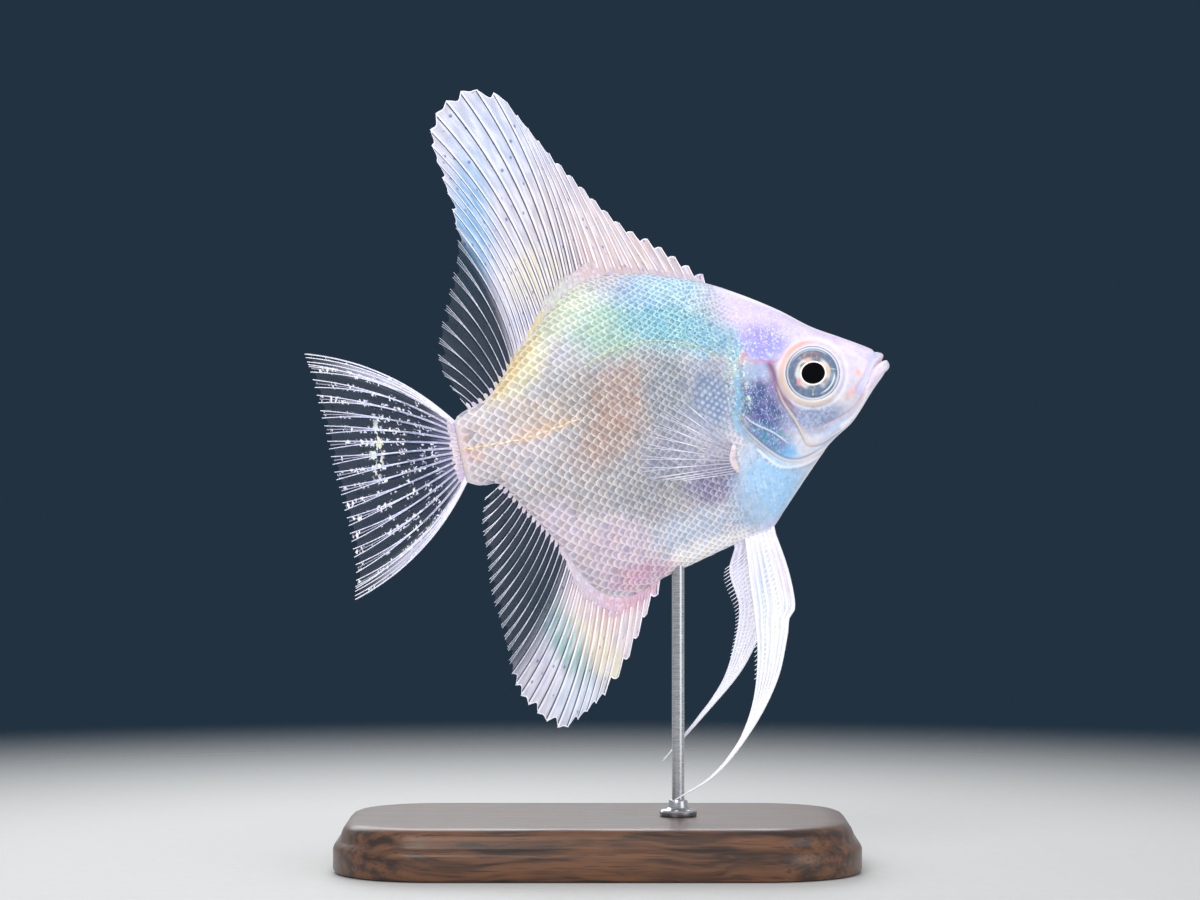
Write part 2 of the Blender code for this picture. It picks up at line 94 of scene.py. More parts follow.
PECTORAL_OPENING = 9.0
SWAY = 0.9

# ---- Lines of the head, drawn on the side of the fish ----
GILL_MARGIN = [(47.2, 6.0), (46.2, 3.6), (45.6, 0.8), (45.3, -1.8), (44.3, -3.8), (44.4, -5.4), (46.0, -8.0),
               (48.0, -10.4), (49.8, -12.0), (51.8, -12.7), (53.8, -12.6), (56.3, -11.8), (58.6, -10.6)]
GILL_FOLD = [(45.6, -9.2), (47.2, -11.4), (48.7, -12.9), (50.6, -13.6), (53.2, -13.6), (56.0, -12.7)]
PREOPERCLE = [(50.9, 0.4), (51.2, -1.6), (51.6, -3.2), (52.5, -5.3), (53.2, -7.2), (53.8, -9.2),
              (54.1, -10.3), (55.0, -10.7), (56.5, -10.6), (58.1, -10.0), (60.1, -9.2), (61.8, -8.2)]
SUBOPERCLE = [(44.9, -3.9), (45.7, -5.1), (47.0, -6.2), (48.5, -7.3), (49.6, -8.3), (50.8, -9.7)]
UNDER_EYE = [(50.6, 4.2), (51.1, 1.4), (51.6, -0.9), (52.4, -3.0), (53.2, -4.7), (54.1, -6.0)]
BEHIND_EYE = [(49.0, 4.6), (50.0, 4.1), (51.0, 3.6), (52.2, 3.7), (53.2, 4.6), (54.2, 5.6), (56.4, 6.6)]
MOUTH = [(70.6, 0.5), (69.2, 0.5), (68.0, 0.0), (67.1, -0.9), (66.5, -1.9), (65.9, -2.9), (64.9, -4.1)]
LIP_FOLD = [(68.2, 1.9), (67.1, 0.6), (66.1, -0.8), (65.2, -2.0), (64.2, -3.0), (63.8, -3.8), (64.9, -4.2)]
CHIN_FOLD = [(69.6, -1.6), (68.4, -2.2), (67.0, -3.2), (65.8, -4.4), (64.8, -5.6)]
JAW_LINE = [(65.6, -3.5), (64.8, -4.6), (63.8, -5.6), (62.3, -6.7), (59.8, -7.5), (57.8, -8.0), (56.3, -8.4)]
JAW_EDGE = [(66.0, -3.8), (64.2, -6.2), (62.2, -7.9), (59.6, -9.0)]
LATERAL_REAR = [(-0.6, 0.2), (5.0, 0.0), (9.2, -0.1), (15.1, 0.5), (19.6, 1.3)]
LATERAL_FRONT = [(20.4, 8.5), (23.5, 9.9), (26.5, 10.7), (30.0, 11.1), (34.0, 10.8), (38.0, 9.5),
                 (41.4, 7.6), (43.9, 5.0)]
NOSTRIL = (62.6, 2.7)


def smooth(knots, x):
    """The value at x of a smooth curve through (x, value) knots, level past its ends. x may be an array."""
    at, value = np.array(knots, float).T
    last = len(at) - 1
    before = np.maximum(np.arange(last + 1) - 1, 0)
    after = np.minimum(np.arange(last + 1) + 1, last)
    slope = (value[after] - value[before]) / (at[after] - at[before])
    x = np.clip(x, at[0], at[-1])
    i = np.clip(np.searchsorted(at, x, side="right") - 1, 0, last - 1)
    run = at[i + 1] - at[i]
    t = (x - at[i]) / run
    start = (1 + 2 * t) * (1 - t) ** 2 * value[i] + t * (1 - t) ** 2 * run * slope[i]
    return start + t * t * (3 - 2 * t) * value[i + 1] + t * t * (t - 1) * run * slope[i + 1]


def along(points, share):
    """Points at these shares of the way along a smooth line."""
    points = np.array(points, float)
    marks = np.concatenate([[0.0], np.cumsum(np.linalg.norm(np.diff(points, axis=0), axis=1))])
    share = np.asarray(share, float) * marks[-1]
    return np.stack([smooth(list(zip(marks, values)), share) for values in points.T], -1)


def step(low, high, x):
    """0 below low, 1 above high and smooth between."""
    t = np.clip((x - low) / (high - low), 0.0, 1.0)
    return t * t * (3 - 2 * t)


def bell(x, width):
    """1 where x is 0, falling smoothly to nearly 0 at twice the width."""
    return np.exp(-(x / width) ** 2)


def near_line(points, x, z, reach=3.0):
    """Distance of each (x, z) to a smooth line, positive on the left of its way, and the share along it.
    Places further off than reach are given as reach."""
    line = along(points, np.linspace(0, 1, 6 * len(points)))
    best = np.full(x.shape, reach)
    side, share = np.ones(x.shape), np.zeros(x.shape)
    low, high = line.min(0) - reach, line.max(0) + reach
    near = np.nonzero((x > low[0]) & (x < high[0]) & (z > low[1]) & (z < high[1]))
    px, pz = x[near], z[near]
    found, turn, place = np.full(px.shape, reach), np.ones(px.shape), np.zeros(px.shape)
    for k, (a, b) in enumerate(zip(line, line[1:])):
        way = b - a
        t = np.clip(((px - a[0]) * way[0] + (pz - a[1]) * way[1]) / max(way @ way, 1e-9), 0, 1)
        dx, dz = px - a[0] - t * way[0], pz - a[1] - t * way[1]
        distance = np.hypot(dx, dz)
        closer = distance < found
        found[closer] = distance[closer]
        turn[closer] = np.sign(way[0] * dz - way[1] * dx)[closer]
        place[closer] = ((k + t) / (len(line) - 1))[closer]
    best[near], side[near], share[near] = found, turn, place
    side[side == 0] = 1
    return best * side, share


# ---- The body's surface: x forward, s millimetres round the flank from where it is widest, up positive ----
TABLE_STEP = 0.1
TABLE_X = np.arange(TAIL_END, SNOUT_END + TABLE_STEP / 2, TABLE_STEP)
HALF_RING = 200
FINE_RING = 720


def body_table():
    """For each TABLE_X: places and normals round the right flank at even steps from belly to back, and the
    lengths of the flank below and above where it is widest."""
    turn = np.linspace(math.pi, 0, FINE_RING + 1)
    level, half = smooth(WIDEST_AT, TABLE_X), smooth(HALF_WIDTH, TABLE_X)
    up_reach = (smooth(BACK, TABLE_X) - level)[:, None]
    down_reach = (level - smooth(BELLY, TABLE_X))[:, None]
    up, out = np.cos(turn)[None], np.sin(turn)[None].clip(0)
    y = -half[:, None] * out ** KEEL
    z = level[:, None] + np.where(up > 0, up_reach, down_reach) * up
    lengths = np.hypot(np.diff(y, axis=1), np.diff(z, axis=1))
    arc = np.concatenate([np.zeros((len(y), 1)), np.cumsum(lengths, axis=1)], axis=1)
    arc -= arc[:, FINE_RING // 2][:, None]
    places = np.empty((len(TABLE_X), 2 * HALF_RING + 1, 3))
    for i in range(len(TABLE_X)):
        even = np.concatenate([np.linspace(arc[i, 0], 0, HALF_RING + 1),
                               np.linspace(0, arc[i, -1], HALF_RING + 1)[1:]])
        places[i, :, 0] = TABLE_X[i]
        places[i, :, 1] = np.interp(even, arc[i], y[i])
        places[i, :, 2] = np.interp(even, arc[i], z[i])
    ahead, round_it = np.gradient(places, axis=0), np.gradient(places, axis=1)
    normals = np.cross(ahead, round_it)
    normals[:, 0, 1] = normals[:, -1, 1] = 0
    normals /= np.linalg.norm(normals, axis=2, keepdims=True) + 1e-12
    normals *= np.sign(-normals[:, HALF_RING, 1])[:, None, None]
    return places, normals, -arc[:, 0], arc[:, -1]


PLACES, NORMALS, DOWN_LENGTH, UP_LENGTH = body_table()


def read_table(table, x, share):
    """A table's value at x and at a share round the flank, from -1 on the belly to 1 on the back."""
    row = np.clip((x - TAIL_END) / TABLE_STEP, 0, len(TABLE_X) - 1.001)
    column = np.clip((share + 1) * HALF_RING, 0, 2 * HALF_RING - 0.001)
    i, j = row.astype(int), column.astype(int)
    a, b = (row - i)[..., None], (column - j)[..., None]
    near = table[i, j] * (1 - b) + table[i, j + 1] * b
    return near * (1 - a) + (table[i + 1, j] * (1 - b) + table[i + 1, j + 1] * b) * a


def share_of(x, s):
    """The share round the flank that s millimetres come to at x."""
    down, up = np.interp(x, TABLE_X, DOWN_LENGTH), np.interp(x, TABLE_X, UP_LENGTH)
    return np.clip(np.where(s > 0, s / up, s / down), -1, 1)


def on_body(x, share, lift):
    """Points over the right flank, lifted off the body's smooth form."""
    place, normal = read_table(PLACES, x, share), read_table(NORMALS, x, share)
    normal /= np.linalg.norm(normal, axis=-1, keepdims=True)
    return place + normal * lift[..., None]


# ---- Relief of the skin ----
def relief(x, z):
    """How far the skin stands out of its smooth form at each place on the side, in millimetres."""
    from_eye = np.hypot(x - EYE_AT[0], z - EYE_AT[2])
    out = -2.2 * step(4.42, 4.05, from_eye)
    out += 0.16 * bell(from_eye - 4.75, 0.32) - 0.10 * bell(from_eye - 5.5, 0.35)
    margin, share = near_line(GILL_MARGIN, x, z, 6.0)
    ends = step(0.0, 0.08, share) * step(1.0, 0.9, share)
    out += 0.34 * step(-0.10, 0.10, margin) * step(3.4, 0.6, margin) * ends
    out -= 0.16 * bell(margin + 0.28, 0.22) * ends
    out += 0.10 * bell(margin - 0.55, 0.25) * ends
    fold, share = near_line(GILL_FOLD, x, z)
    out += 0.16 * step(-0.08, 0.08, fold) * step(0.9, 0.2, fold) * step(0, 0.1, share) * step(1, 0.9, share)
    edge, share = near_line(PREOPERCLE, x, z)
    ends = step(0.0, 0.06, share) * step(1.0, 0.9, share)
    out += (0.18 * step(-0.08, 0.10, edge) * step(1.5, 0.3, edge) - 0.10 * bell(edge + 0.22, 0.2)) * ends
    for line, depth, width in ((SUBOPERCLE, 0.09, 0.16), (UNDER_EYE, 0.14, 0.35), (BEHIND_EYE, 0.12, 0.22),
                               (JAW_LINE, 0.16, 0.2), (CHIN_FOLD, 0.10, 0.22)):
        away, share = near_line(line, x, z)
        out -= depth * bell(away, width) * step(0, 0.1, share) * step(1, 0.9, share)
    away, share = near_line(JAW_EDGE, x, z)
    out += 0.12 * bell(away, 0.3) * step(0, 0.15, share) * step(1, 0.8, share)
    out += mouth_relief(x, z) * step(69.9, 69.5, x)
    out -= 0.35 * bell(np.hypot(x - NOSTRIL[0], z - NOSTRIL[1]), 0.28)
    out += 0.10 * bell(np.hypot(x - NOSTRIL[0], z - NOSTRIL[1]) - 0.42, 0.16)
    return out


def mouth_relief(x, z):
    """The cleft of the mouth between two rounded lips, and the upper jaw's strip behind it."""
    cleft, share = near_line(MOUTH, x, z)
    front = step(0.62, 0.2, share)
    out = -(0.22 + 0.42 * front) * bell(cleft, 0.17 + 0.08 * front) * step(1.0, 0.85, share)
    out += 0.20 * front * bell(np.abs(cleft) - 0.62, 0.36) * step(65.6, 67.6, x)
    out += (0.12 * bell(x - 68.9, 0.35) - 0.20 * bell(x - 68.15, 0.26)) * step(0.7, 1.4, z)
    fold, share = near_line(LIP_FOLD, x, z)
    out -= 0.07 * bell(fold, 0.2) * step(0.12, 0.35, share) * step(1.0, 0.8, share)
    return out


# ---- Meshes ----
def in_scene(name, data):
    made = bpy.data.objects.new(name, data)
    bpy.context.scene.collection.objects.link(made)
    return made


def made_mesh(name, points, faces, material, sharp_angle=None):
    """A mesh of these points, in millimetres, and of faces that all have the same number of corners, or of a
    list of such arrays."""
    groups = faces if isinstance(faces, list) else [faces]
    corners = np.concatenate([group.ravel() for group in groups]).astype(np.int32)
    sizes = np.concatenate([np.full(len(group), group.shape[1]) for group in groups])
    starts = np.concatenate([[0], np.cumsum(sizes)[:-1]]).astype(np.int32)
    mesh = bpy.data.meshes.new(name)
    mesh.vertices.add(len(points))
    mesh.vertices.foreach_set("co", (np.asarray(points, float) * MM).astype(np.float32).ravel())
    mesh.loops.add(len(corners))
    mesh.loops.foreach_set("vertex_index", corners)
    mesh.polygons.add(len(starts))
    mesh.polygons.foreach_set("loop_start", starts)
    mesh.update(calc_edges=True)
    mesh.validate()
    mesh.materials.append(material)
    mesh.shade_smooth()
    if sharp_angle:
        mesh.set_sharp_from_angle(angle=math.radians(sharp_angle))
    return in_scene(name, mesh)


def give(piece, name, values):
    """A named number or vector for each point, which the material reads."""
    values = np.asarray(values, np.float32)
    kind, field = ("FLOAT", "value") if values.ndim == 1 else ("FLOAT_VECTOR", "vector")
    piece.data.attributes.new(name, kind, "POINT").data.foreach_set(field, values.ravel())


# In a coat's OFBake map: the margin, the reach of the whole coat, half the flank's height in millimetres,
# and how far one scale's points spread round its own place
MAP_MARGIN, MAP_REACH, MAP_HALF_HEIGHT, MAP_SPREAD = 0.02, 0.96, 32.0, 0.0014


def chart(piece, places):
    """Give a coat piece its OFBake map from one place per point."""
    layer = piece.data.uv_layers.new(name="OFBake")
    corner = np.empty(len(piece.data.loops), np.int32)
    piece.data.loops.foreach_get("vertex_index", corner)
    layer.data.foreach_set("uv", places[corner].astype(np.float32).ravel())


def place(piece, slot, *nodes):
    """Puts a piece that is drawn in the fish's frame into the model's pose."""
    piece.data.transform(Matrix.Translation(Vector(FISH_AT) * MM)
                         @ Euler((0.0, -math.radians(PITCH), 0.0)).to_matrix().to_4x4())
    settle(piece, slot, *nodes)


def settle(piece, slot, *nodes):
    """Attaches a piece to the root body and hides the CAD nodes that it replaces. slot is not used."""
    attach(piece, "root")
    if nodes:
        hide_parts(*nodes)


def grid_faces(rows, columns, wrap=False):
    """Quads between neighbouring rows of points. Wrapped, the last column joins the first."""
    across = columns if wrap else columns - 1
    i, j = np.meshgrid(np.arange(rows - 1), np.arange(across), indexing="ij")
    here, beside = i * columns + j, i * columns + (j + 1) % columns
    return np.stack([here, beside, beside + columns, here + columns], -1).reshape(-1, 4)


def closed_faces(rows, columns):
    """The faces of a tube of rings of points, with its two ends."""
    end = np.arange(columns)[None]
    return [grid_faces(rows, columns, wrap=True), end[:, ::-1], end + (rows - 1) * columns]


# ---- Skin ----
SKIN_INSET = 0.16
SKIN_RINGS, SKIN_HALF_RING = 300, 160
RING_SPACING = [(-0.8, 0.46), (40.0, 0.46), (45.0, 0.165), (66.0, 0.15), (68.6, 0.07), (70.1, 0.04)]


def skin_stations():
    """Distances forward of the skin's rings, closer together over the head."""
    fine = np.linspace(TAIL_END, SNOUT_END - SKIN_INSET, 4000)
    spacing = smooth(RING_SPACING, (fine[1:] + fine[:-1]) / 2)
    count = np.concatenate([[0], np.cumsum(np.diff(fine) / spacing)])
    return np.interp(np.linspace(0, count[-1], SKIN_RINGS), count, fine)


def skin(material):
    """One skin from the tail's root to the lips, with the marks of its lines as numbers on its points."""
    x = np.repeat(skin_stations()[:, None], SKIN_HALF_RING + 1, axis=1)
    share = np.repeat(np.linspace(-1, 1, SKIN_HALF_RING + 1)[None], SKIN_RINGS, axis=0)
    z = read_table(PLACES, x, share)[..., 2]
    right = on_body(x, share, relief(x, z) - SKIN_INSET)
    left = right[:, -2:0:-1] * np.array([1, -1, 1])
    points = np.concatenate([right, left], axis=1)
    columns, flat = points.shape[1], points.reshape(-1, 3)
    made = made_mesh("skin", flat, [group[:, ::-1] for group in closed_faces(SKIN_RINGS, columns)], material)
    both = np.concatenate([share, share[:, -2:0:-1]], axis=1).ravel()
    for name, values in head_marks(flat[:, 0], flat[:, 2], both).items():
        give(made, name, np.stack(values, -1))
    place(made, "pearl_skin", "head", "upper_jaw", "lower_jaw", "gill_cover_right", "gill_cover_left",
          "trunk", "tail_stalk")
    return made


# Display colours of the head's marks, laid on in this order; head_marks gives their strengths. The pale mark
# also carries a painted rim light along the outline, and the dark mark a painted shade inside the gill
# cover's margin
MARK_COLOURS = {
    "marks_c": [(62, 66, 100), (228, 174, 154), (186, 196, 238)],
    "marks_b": [(122, 62, 98), (206, 112, 184), (226, 140, 152)],
    "marks_a": [(251, 249, 254), (220, 194, 166), (106, 170, 206)],
}


def line_mark(points, x, z, width, start=0.08, end=0.92, shift=0.0):
    """1 on a line drawn on the skin, fading at its sides and ends."""
    away, share = near_line(points, x, z)
    return bell(away - shift, width) * step(0, start, share) * step(1, end, share)


def head_marks(x, z, share):
    """The lines and edges of the head, and a painted rim light along the outline of head and nape, three
    strengths to a vector, in the order of MARK_COLOURS.
    """
    from_eye = np.hypot(x - EYE_AT[0], z - EYE_AT[2])
    turn = np.degrees(np.arctan2(z - EYE_AT[2], x - EYE_AT[0]))
    margin, at = near_line(GILL_MARGIN, x, z)
    under, down = near_line(UNDER_EYE, x, z)
    pale = 0.9 * bell(margin - 0.05, 0.17) * step(0.35, 0.5, at) * step(1, 0.9, at)
    pale += (0.9 * line_mark(GILL_FOLD, x, z, 0.2, shift=0.1)
             + 0.9 * line_mark(PREOPERCLE, x, z, 0.13, 0.5, 0.98))
    pale += 0.8 * line_mark(JAW_EDGE, x, z, 0.4) + 0.85 * line_mark(SUBOPERCLE, x, z, 0.10, shift=0.2)
    pale += 0.9 * bell(from_eye - 4.42, 0.16) + 0.35 * bell(from_eye - 5.6, 0.3)
    # Painted rim light: pale along the outline of the back and the belly, over the head and behind it
    pale += (0.55 * step(-0.92, -0.995, share) * step(48, 44, x)
             + 0.4 * step(0.93, 0.995, share) * step(44, 36, x))
    pale += step(0.87, 0.96, share) * step(42, 50, x) + 0.6 * step(-0.90, -0.97, share) * step(46, 52, x)
    cream = line_mark(PREOPERCLE, x, z, 0.15, 0.10, 0.6, shift=0.04)
    cream += 0.7 * bell(margin + 0.36, 0.13) * step(0.4, 0.5, at)
    cream += bell(from_eye - 4.95, 0.32) * np.maximum(step(-40, -90, turn), step(160, 178, turn))
    cream += 0.7 * bell(from_eye - 5.35, 0.12) * np.maximum(step(150, 170, turn), step(-130, -160, turn))
    cyan = 0.75 * bell(margin + 0.7, 0.6) * step(0.06, 0.16, at) * step(0.5, 0.4, at)
    maroon = bell(under / (0.66 - 0.36 * down), 1.0) * step(0.0, 0.08, down) * step(1.0, 0.7, down)
    magenta = line_mark(BEHIND_EYE, x, z, 0.17, 0.04, 0.3) * 0.9
    rose = 0.55 * line_mark(JAW_LINE, x, z, 0.13, 0.1, 0.95) + 0.5 * line_mark(MOUTH, x, z, 0.2, 0.02, 0.5)
    rose += 0.35 * line_mark(LIP_FOLD, x, z, 0.2, 0.3, 0.98, shift=-0.4)
    dark = 0.75 * line_mark(SUBOPERCLE, x, z, 0.12)
    # Painted shade: a dark line just inside the gill cover's margin
    dark += 0.6 * bell(margin - 0.34, 0.18) * step(0.05, 0.3, at) * step(1, 0.8, at)
    dark += 0.7 * bell(under + 0.5, 0.2) * step(0.2, 0.5, down) * step(1, 0.9, down)
    dark += 0.45 * bell(from_eye - 5.42, 0.13) * np.maximum(step(-50, -80, turn), step(150, 165, turn))
    dark += 0.6 * line_mark(PREOPERCLE, x, z, 0.13, 0.10, 0.9, shift=-0.27)
    dark += 0.35 * line_mark(GILL_FOLD, x, z, 0.12, shift=-0.28)
    peach = bell(from_eye - 5.0, 0.5) * step(60, 105, turn) * step(185, 150, turn)
    lavender = 0.9 * line_mark(LIP_FOLD, x, z, 0.55, 0.12, 0.9)
    return {"marks_a": (pale, cream, cyan), "marks_b": (maroon, magenta, rose),
            "marks_c": (dark, peach, lavender)}


def mark_rows(x, z, share):
    """The head marks, with their painted rim light along the outline, at scattered points, a row of nine for
    each, in the order of MARK_COLOURS.
    """
    x, z, share = x.ravel(), z.ravel(), np.broadcast_to(share, z.shape).ravel()
    rows = np.zeros((len(x), 9))
    near = (x > 40) | (np.abs(share) > 0.9)
    found = head_marks(x[near], z[near], share[near])
    for n, name in enumerate(MARK_COLOURS):
        rows[near, 3 * n:3 * n + 3] = np.stack(found[name], -1)
    return rows


# ---- Scales ----
COLUMN, ROW = 1.0, 1.62
FRONT_REACH = 1.25
FIELD_STEP = 0.25
FIELD_X = np.arange(-3.0, 73.0, FIELD_STEP)
FIELD_S = np.arange(-34.0, 34.0, FIELD_STEP)


def scale_length(x):
    """How long scales are, as a share of those by the tail; the columns keep to it at every height."""
    return 1 - 0.26 * step(12, 34, x) - 0.16 * step(38, 46, x)


def scale_size(x, s):
    """How tall scales are at a place, as a share of those by the tail."""
    edge = np.minimum(np.interp(x, TABLE_X, UP_LENGTH) - s, np.interp(x, TABLE_X, DOWN_LENGTH) + s)
    return scale_length(x) * (1 - 0.14 * step(5, 13, s)) * (1 - 0.22 * step(5, 0.5, edge))


def read_field(field, x, s):
    """A field's value at places between its points."""
    i = np.clip((x - FIELD_X[0]) / FIELD_STEP, 0, len(FIELD_X) - 1.01)
    j = np.clip((s - FIELD_S[0]) / FIELD_STEP, 0, len(FIELD_S) - 1.01)
    a, b = i.astype(int), j.astype(int)
    i, j = i - a, j - b
    return ((field[a, b] * (1 - j) + field[a, b + 1] * j) * (1 - i)
            + (field[a + 1, b] * (1 - j) + field[a + 1, b + 1] * j) * i)


def scale_lattice():
    """Roots of one flank's scales: staggered columns whose pitch follows scale_size everywhere."""
    x, s = np.meshgrid(FIELD_X, FIELD_S, indexing="ij")
    size = scale_size(x, s)
    column = np.cumsum(FIELD_STEP / (COLUMN * scale_length(x)), axis=0)
    row = np.cumsum(FIELD_STEP / (ROW * size), axis=1)
    row -= row[:, len(FIELD_S) // 2][:, None]
    i, j = np.meshgrid(np.arange(2, 200), np.arange(-60, 61), indexing="ij")
    want_column, want_row = i.ravel().astype(float), (j + 0.5 * (i % 2)).ravel()
    x, s = np.interp(want_column, column[:, len(FIELD_S) // 2], FIELD_X), want_row * ROW
    for _ in range(80):
        size = scale_size(x, s)
        x = x + 0.5 * (want_column - read_field(column, x, s)) * COLUMN * scale_length(x)
        s = s + 0.5 * (want_row - read_field(row, x, s)) * ROW * size
        x, s = np.clip(x, -2.9, 72.5), np.clip(s, -33.5, 33.5)
    miss = np.abs(want_column - read_field(column, x, s)) + np.abs(want_row - read_field(row, x, s))
    keep = (miss < 0.05) & scaly(x, s)
    return x[keep], s[keep]


def scaly(x, s):
    """Where scales grow: not on the fins' roots, snout, jaws, eye or the gill cover's edges."""
    size = scale_size(x, s)
    inside = (x > TAIL_END + 1.1 * COLUMN) & (x < 52.5)
    room = 0.40 * ROW * size
    inside &= (s < np.interp(x, TABLE_X, UP_LENGTH) - room) & (s > room - np.interp(x, TABLE_X, DOWN_LENGTH))
    z = read_table(PLACES, np.clip(x, TAIL_END, SNOUT_END), share_of(x, s))[..., 2]
    margin, share = near_line(GILL_MARGIN, x, z, 16.0)
    inside &= (margin < -0.9 - 0.7 * size) | (x < 40) | ((share < 0.02) & (z > 6.5))
    inside &= ~((x > 47.0) & (z < 9.5) & (z > -11.5)) & (x + 0.5 * np.maximum(z, 0) < 53.5)
    return inside


def scale_form(rings, spokes):
    """One scale as points (rearward, up, height) in its own unit, its faces, and the ring of each point."""
    turn = np.arange(spokes) * 2 * math.pi / spokes
    points, layers = [(0.0, 0.0, 1.0)], []
    for ring in rings:
        layers.append(np.arange(spokes) + len(points))
        points += [(ring * math.cos(a), ring * math.sin(a) * (1.0 - 0.12 * math.cos(a)), 1.0) for a in turn]
    under = np.arange(spokes) + len(points)
    points += [(x, y, 0.0) for x, y, _ in points[-spokes:]]
    bottom = len(points)
    points.append((0.0, 0.0, 0.0))
    faces = []
    for k in range(spokes):
        n = (k + 1) % spokes
        faces.append((0, layers[0][k], layers[0][n]))
        for a, b in list(zip(layers, layers[1:])) + [(layers[-1], under)]:
            faces += [(a[k], b[k], b[n]), (a[k], b[n], a[n])]
        faces.append((bottom, under[n], under[k]))
    return np.array(points), np.array(faces)


def flakes(triangles, count, corners, base=0):
    """The triangles of count copies of a scale of so many corners, whose points follow each other."""
    return (triangles[None] + np.arange(count)[:, None, None] * corners + base).reshape(-1, 3)


def flake_numbers(back, up, count):
    """For each point of count scales: its place on the scale, and a number by chance for each scale."""
    tint = np.repeat(chance.random(count)[:, None], back.shape[1], axis=1)
    return np.stack([np.broadcast_to(back, tint.shape), np.broadcast_to(up, tint.shape), tint], -1)


def scales(name, side, x, s, material):
    """The scales of one flank. Each leans out of the skin towards its free rear edge, over the next ones."""
    size, long = scale_size(x, s), scale_length(x)
    wide = long > 0.78
    points, faces, local, marks, chart_places, base = [], [], [], [], [], 0
    for chosen, (shape, triangles) in ((wide, scale_form((0.62, 1.0), 14)), (~wide, scale_form((1.0,), 12))):
        cx, cs = x[chosen][:, None], s[chosen][:, None]
        tall, k = size[chosen][:, None], long[chosen][:, None]
        shake = chance.normal(0, 0.04, (len(cx), 2)) * k
        tilt = chance.normal(0, 0.012, (len(cx), 1))
        back, up, top = shape.T[:, None]
        px = cx + ((FRONT_REACH - 1) - back * FRONT_REACH) * k * COLUMN + shake[:, :1]
        ps = cs + up * 0.60 * tall * ROW + shake[:, 1:]
        flat = 1 - 0.65 * step(40.0, 47.0, cx)
        rise = -0.03 + (0.062 + tilt) * flat * (back + 1) * k ** 0.5 + 0.02 * (1 - back ** 2 - up ** 2)
        share = share_of(px, ps)
        z = read_table(PLACES, np.clip(px, TAIL_END, SNOUT_END), share)[..., 2]
        made = on_body(px, share, relief(px, z) - SKIN_INSET + rise - 0.045 * (1 - top))
        made[..., 1] *= -side
        points.append(made.reshape(-1, 3))
        faces.append(flakes(triangles, len(cx), len(shape), base))
        local.append(flake_numbers(back, up, len(cx)).reshape(-1, 3))
        marks.append(mark_rows(px, z, share))
        u = MAP_MARGIN + MAP_REACH * (cx - TAIL_END) / (SNOUT_END - TAIL_END) + back * MAP_SPREAD
        v = MAP_MARGIN + MAP_REACH * (cs + MAP_HALF_HEIGHT) / (2 * MAP_HALF_HEIGHT) + up * MAP_SPREAD
        chart_places.append(np.stack([u, v], -1).reshape(-1, 2))
        base += len(cx) * len(shape)
    made = made_mesh(name, np.concatenate(points), np.concatenate(faces)[:, ::-side], material,
                     sharp_angle=48)
    give(made, "scale", np.concatenate(local))
    for n, mark_name in enumerate(MARK_COLOURS):
        give(made, mark_name, np.concatenate(marks)[:, 3 * n:3 * n + 3])
    chart(made, np.concatenate(chart_places))
    place(made, "pearl_skin")


def share_at(x, z):
    """The share round the flank where the body's outline is at height z."""
    shares = np.linspace(-1, 1, 401)
    found = []
    for forward, height in zip(x, z):
        heights = read_table(PLACES, np.full(len(shares), forward), shares)[:, 2]
        found.append(np.interp(height, heights, shares))
    return np.array(found)


def lateral_line(name, side, line, wide, material):
    """A canal of short tubes standing out of the scales along one stretch of the lateral line."""
    count = 400
    at = along(line, np.linspace(0, 1, count))
    run = np.concatenate([[0], np.cumsum(np.linalg.norm(np.diff(at, axis=0), axis=1))])
    bulge = 1 + 0.35 * np.sin(run * 2 * math.pi / 1.25)
    z = at[:, 1] + 0.07 * np.sin(run * 2 * math.pi / 2.5)
    path = on_body(at[:, 0], share_at(at[:, 0], z), relief(at[:, 0], z) - SKIN_INSET + 0.10)
    path[:, 1] *= -side
    fade = step(0, 0.04, run / run[-1]) * step(1, 0.9, run / run[-1])
    info = np.stack([np.zeros(count), run / run[-1], run], -1)[None]
    tubes(name, "pearl_skin", path[None], (wide * bulge * fade + 0.01)[None],
          (0.7 * wide * bulge * fade + 0.01)[None], info, material, sides=8)


# ---- Fins ----
MEMBRANE = 0.05
PLEAT = 0.07
ROOT_DEPTH = 0.5


def outline_root(outline, span, outward):
    """A fin's root line: along the body's outline between two distances forward, sunk under the skin."""
    x = np.linspace(span[0], span[1], 13)
    rise = (smooth(outline, x + 0.2) - smooth(outline, x - 0.2)) / 0.4
    normal = np.stack([-rise, np.ones(len(x))], -1)
    normal *= outward / np.linalg.norm(normal, axis=1, keepdims=True)
    return np.stack([x, smooth(outline, x)], -1) - normal * ROOT_DEPTH


class Fan:
    """A median fin: rays from a root line to a line through their tips, bowed by a share of their length.
    The fin sways to each side, turns times from front to rear."""

    def __init__(self, root, tips, rays, bow, turns):
        self.root, self.tips, self.rays, self.bow, self.turns = root, tips, rays, bow, turns

    def at(self, u, t):
        """Points at shares u from the front ray to the rear one, and t from root to tip."""
        u, t = np.broadcast_arrays(np.asarray(u, float), np.asarray(t, float))
        root, tip = along(self.root, np.clip(u, 0, 1)), along(self.tips, np.clip(u, 0, 1))
        way = tip - root
        middle = root + way / 2 + np.stack([way[..., 1], -way[..., 0]], -1) * self.bow(u)[..., None]
        t1 = t[..., None]
        flat = root * (1 - t1) ** 2 + middle * 2 * t1 * (1 - t1) + tip * t1 ** 2
        sway = SWAY * np.sin(2 * math.pi * self.turns * u) * t ** 2
        return np.stack([flat[..., 0], sway, flat[..., 1]], -1)

    def length(self, u):
        return np.linalg.norm(along(self.tips, u) - along(self.root, u), axis=-1)


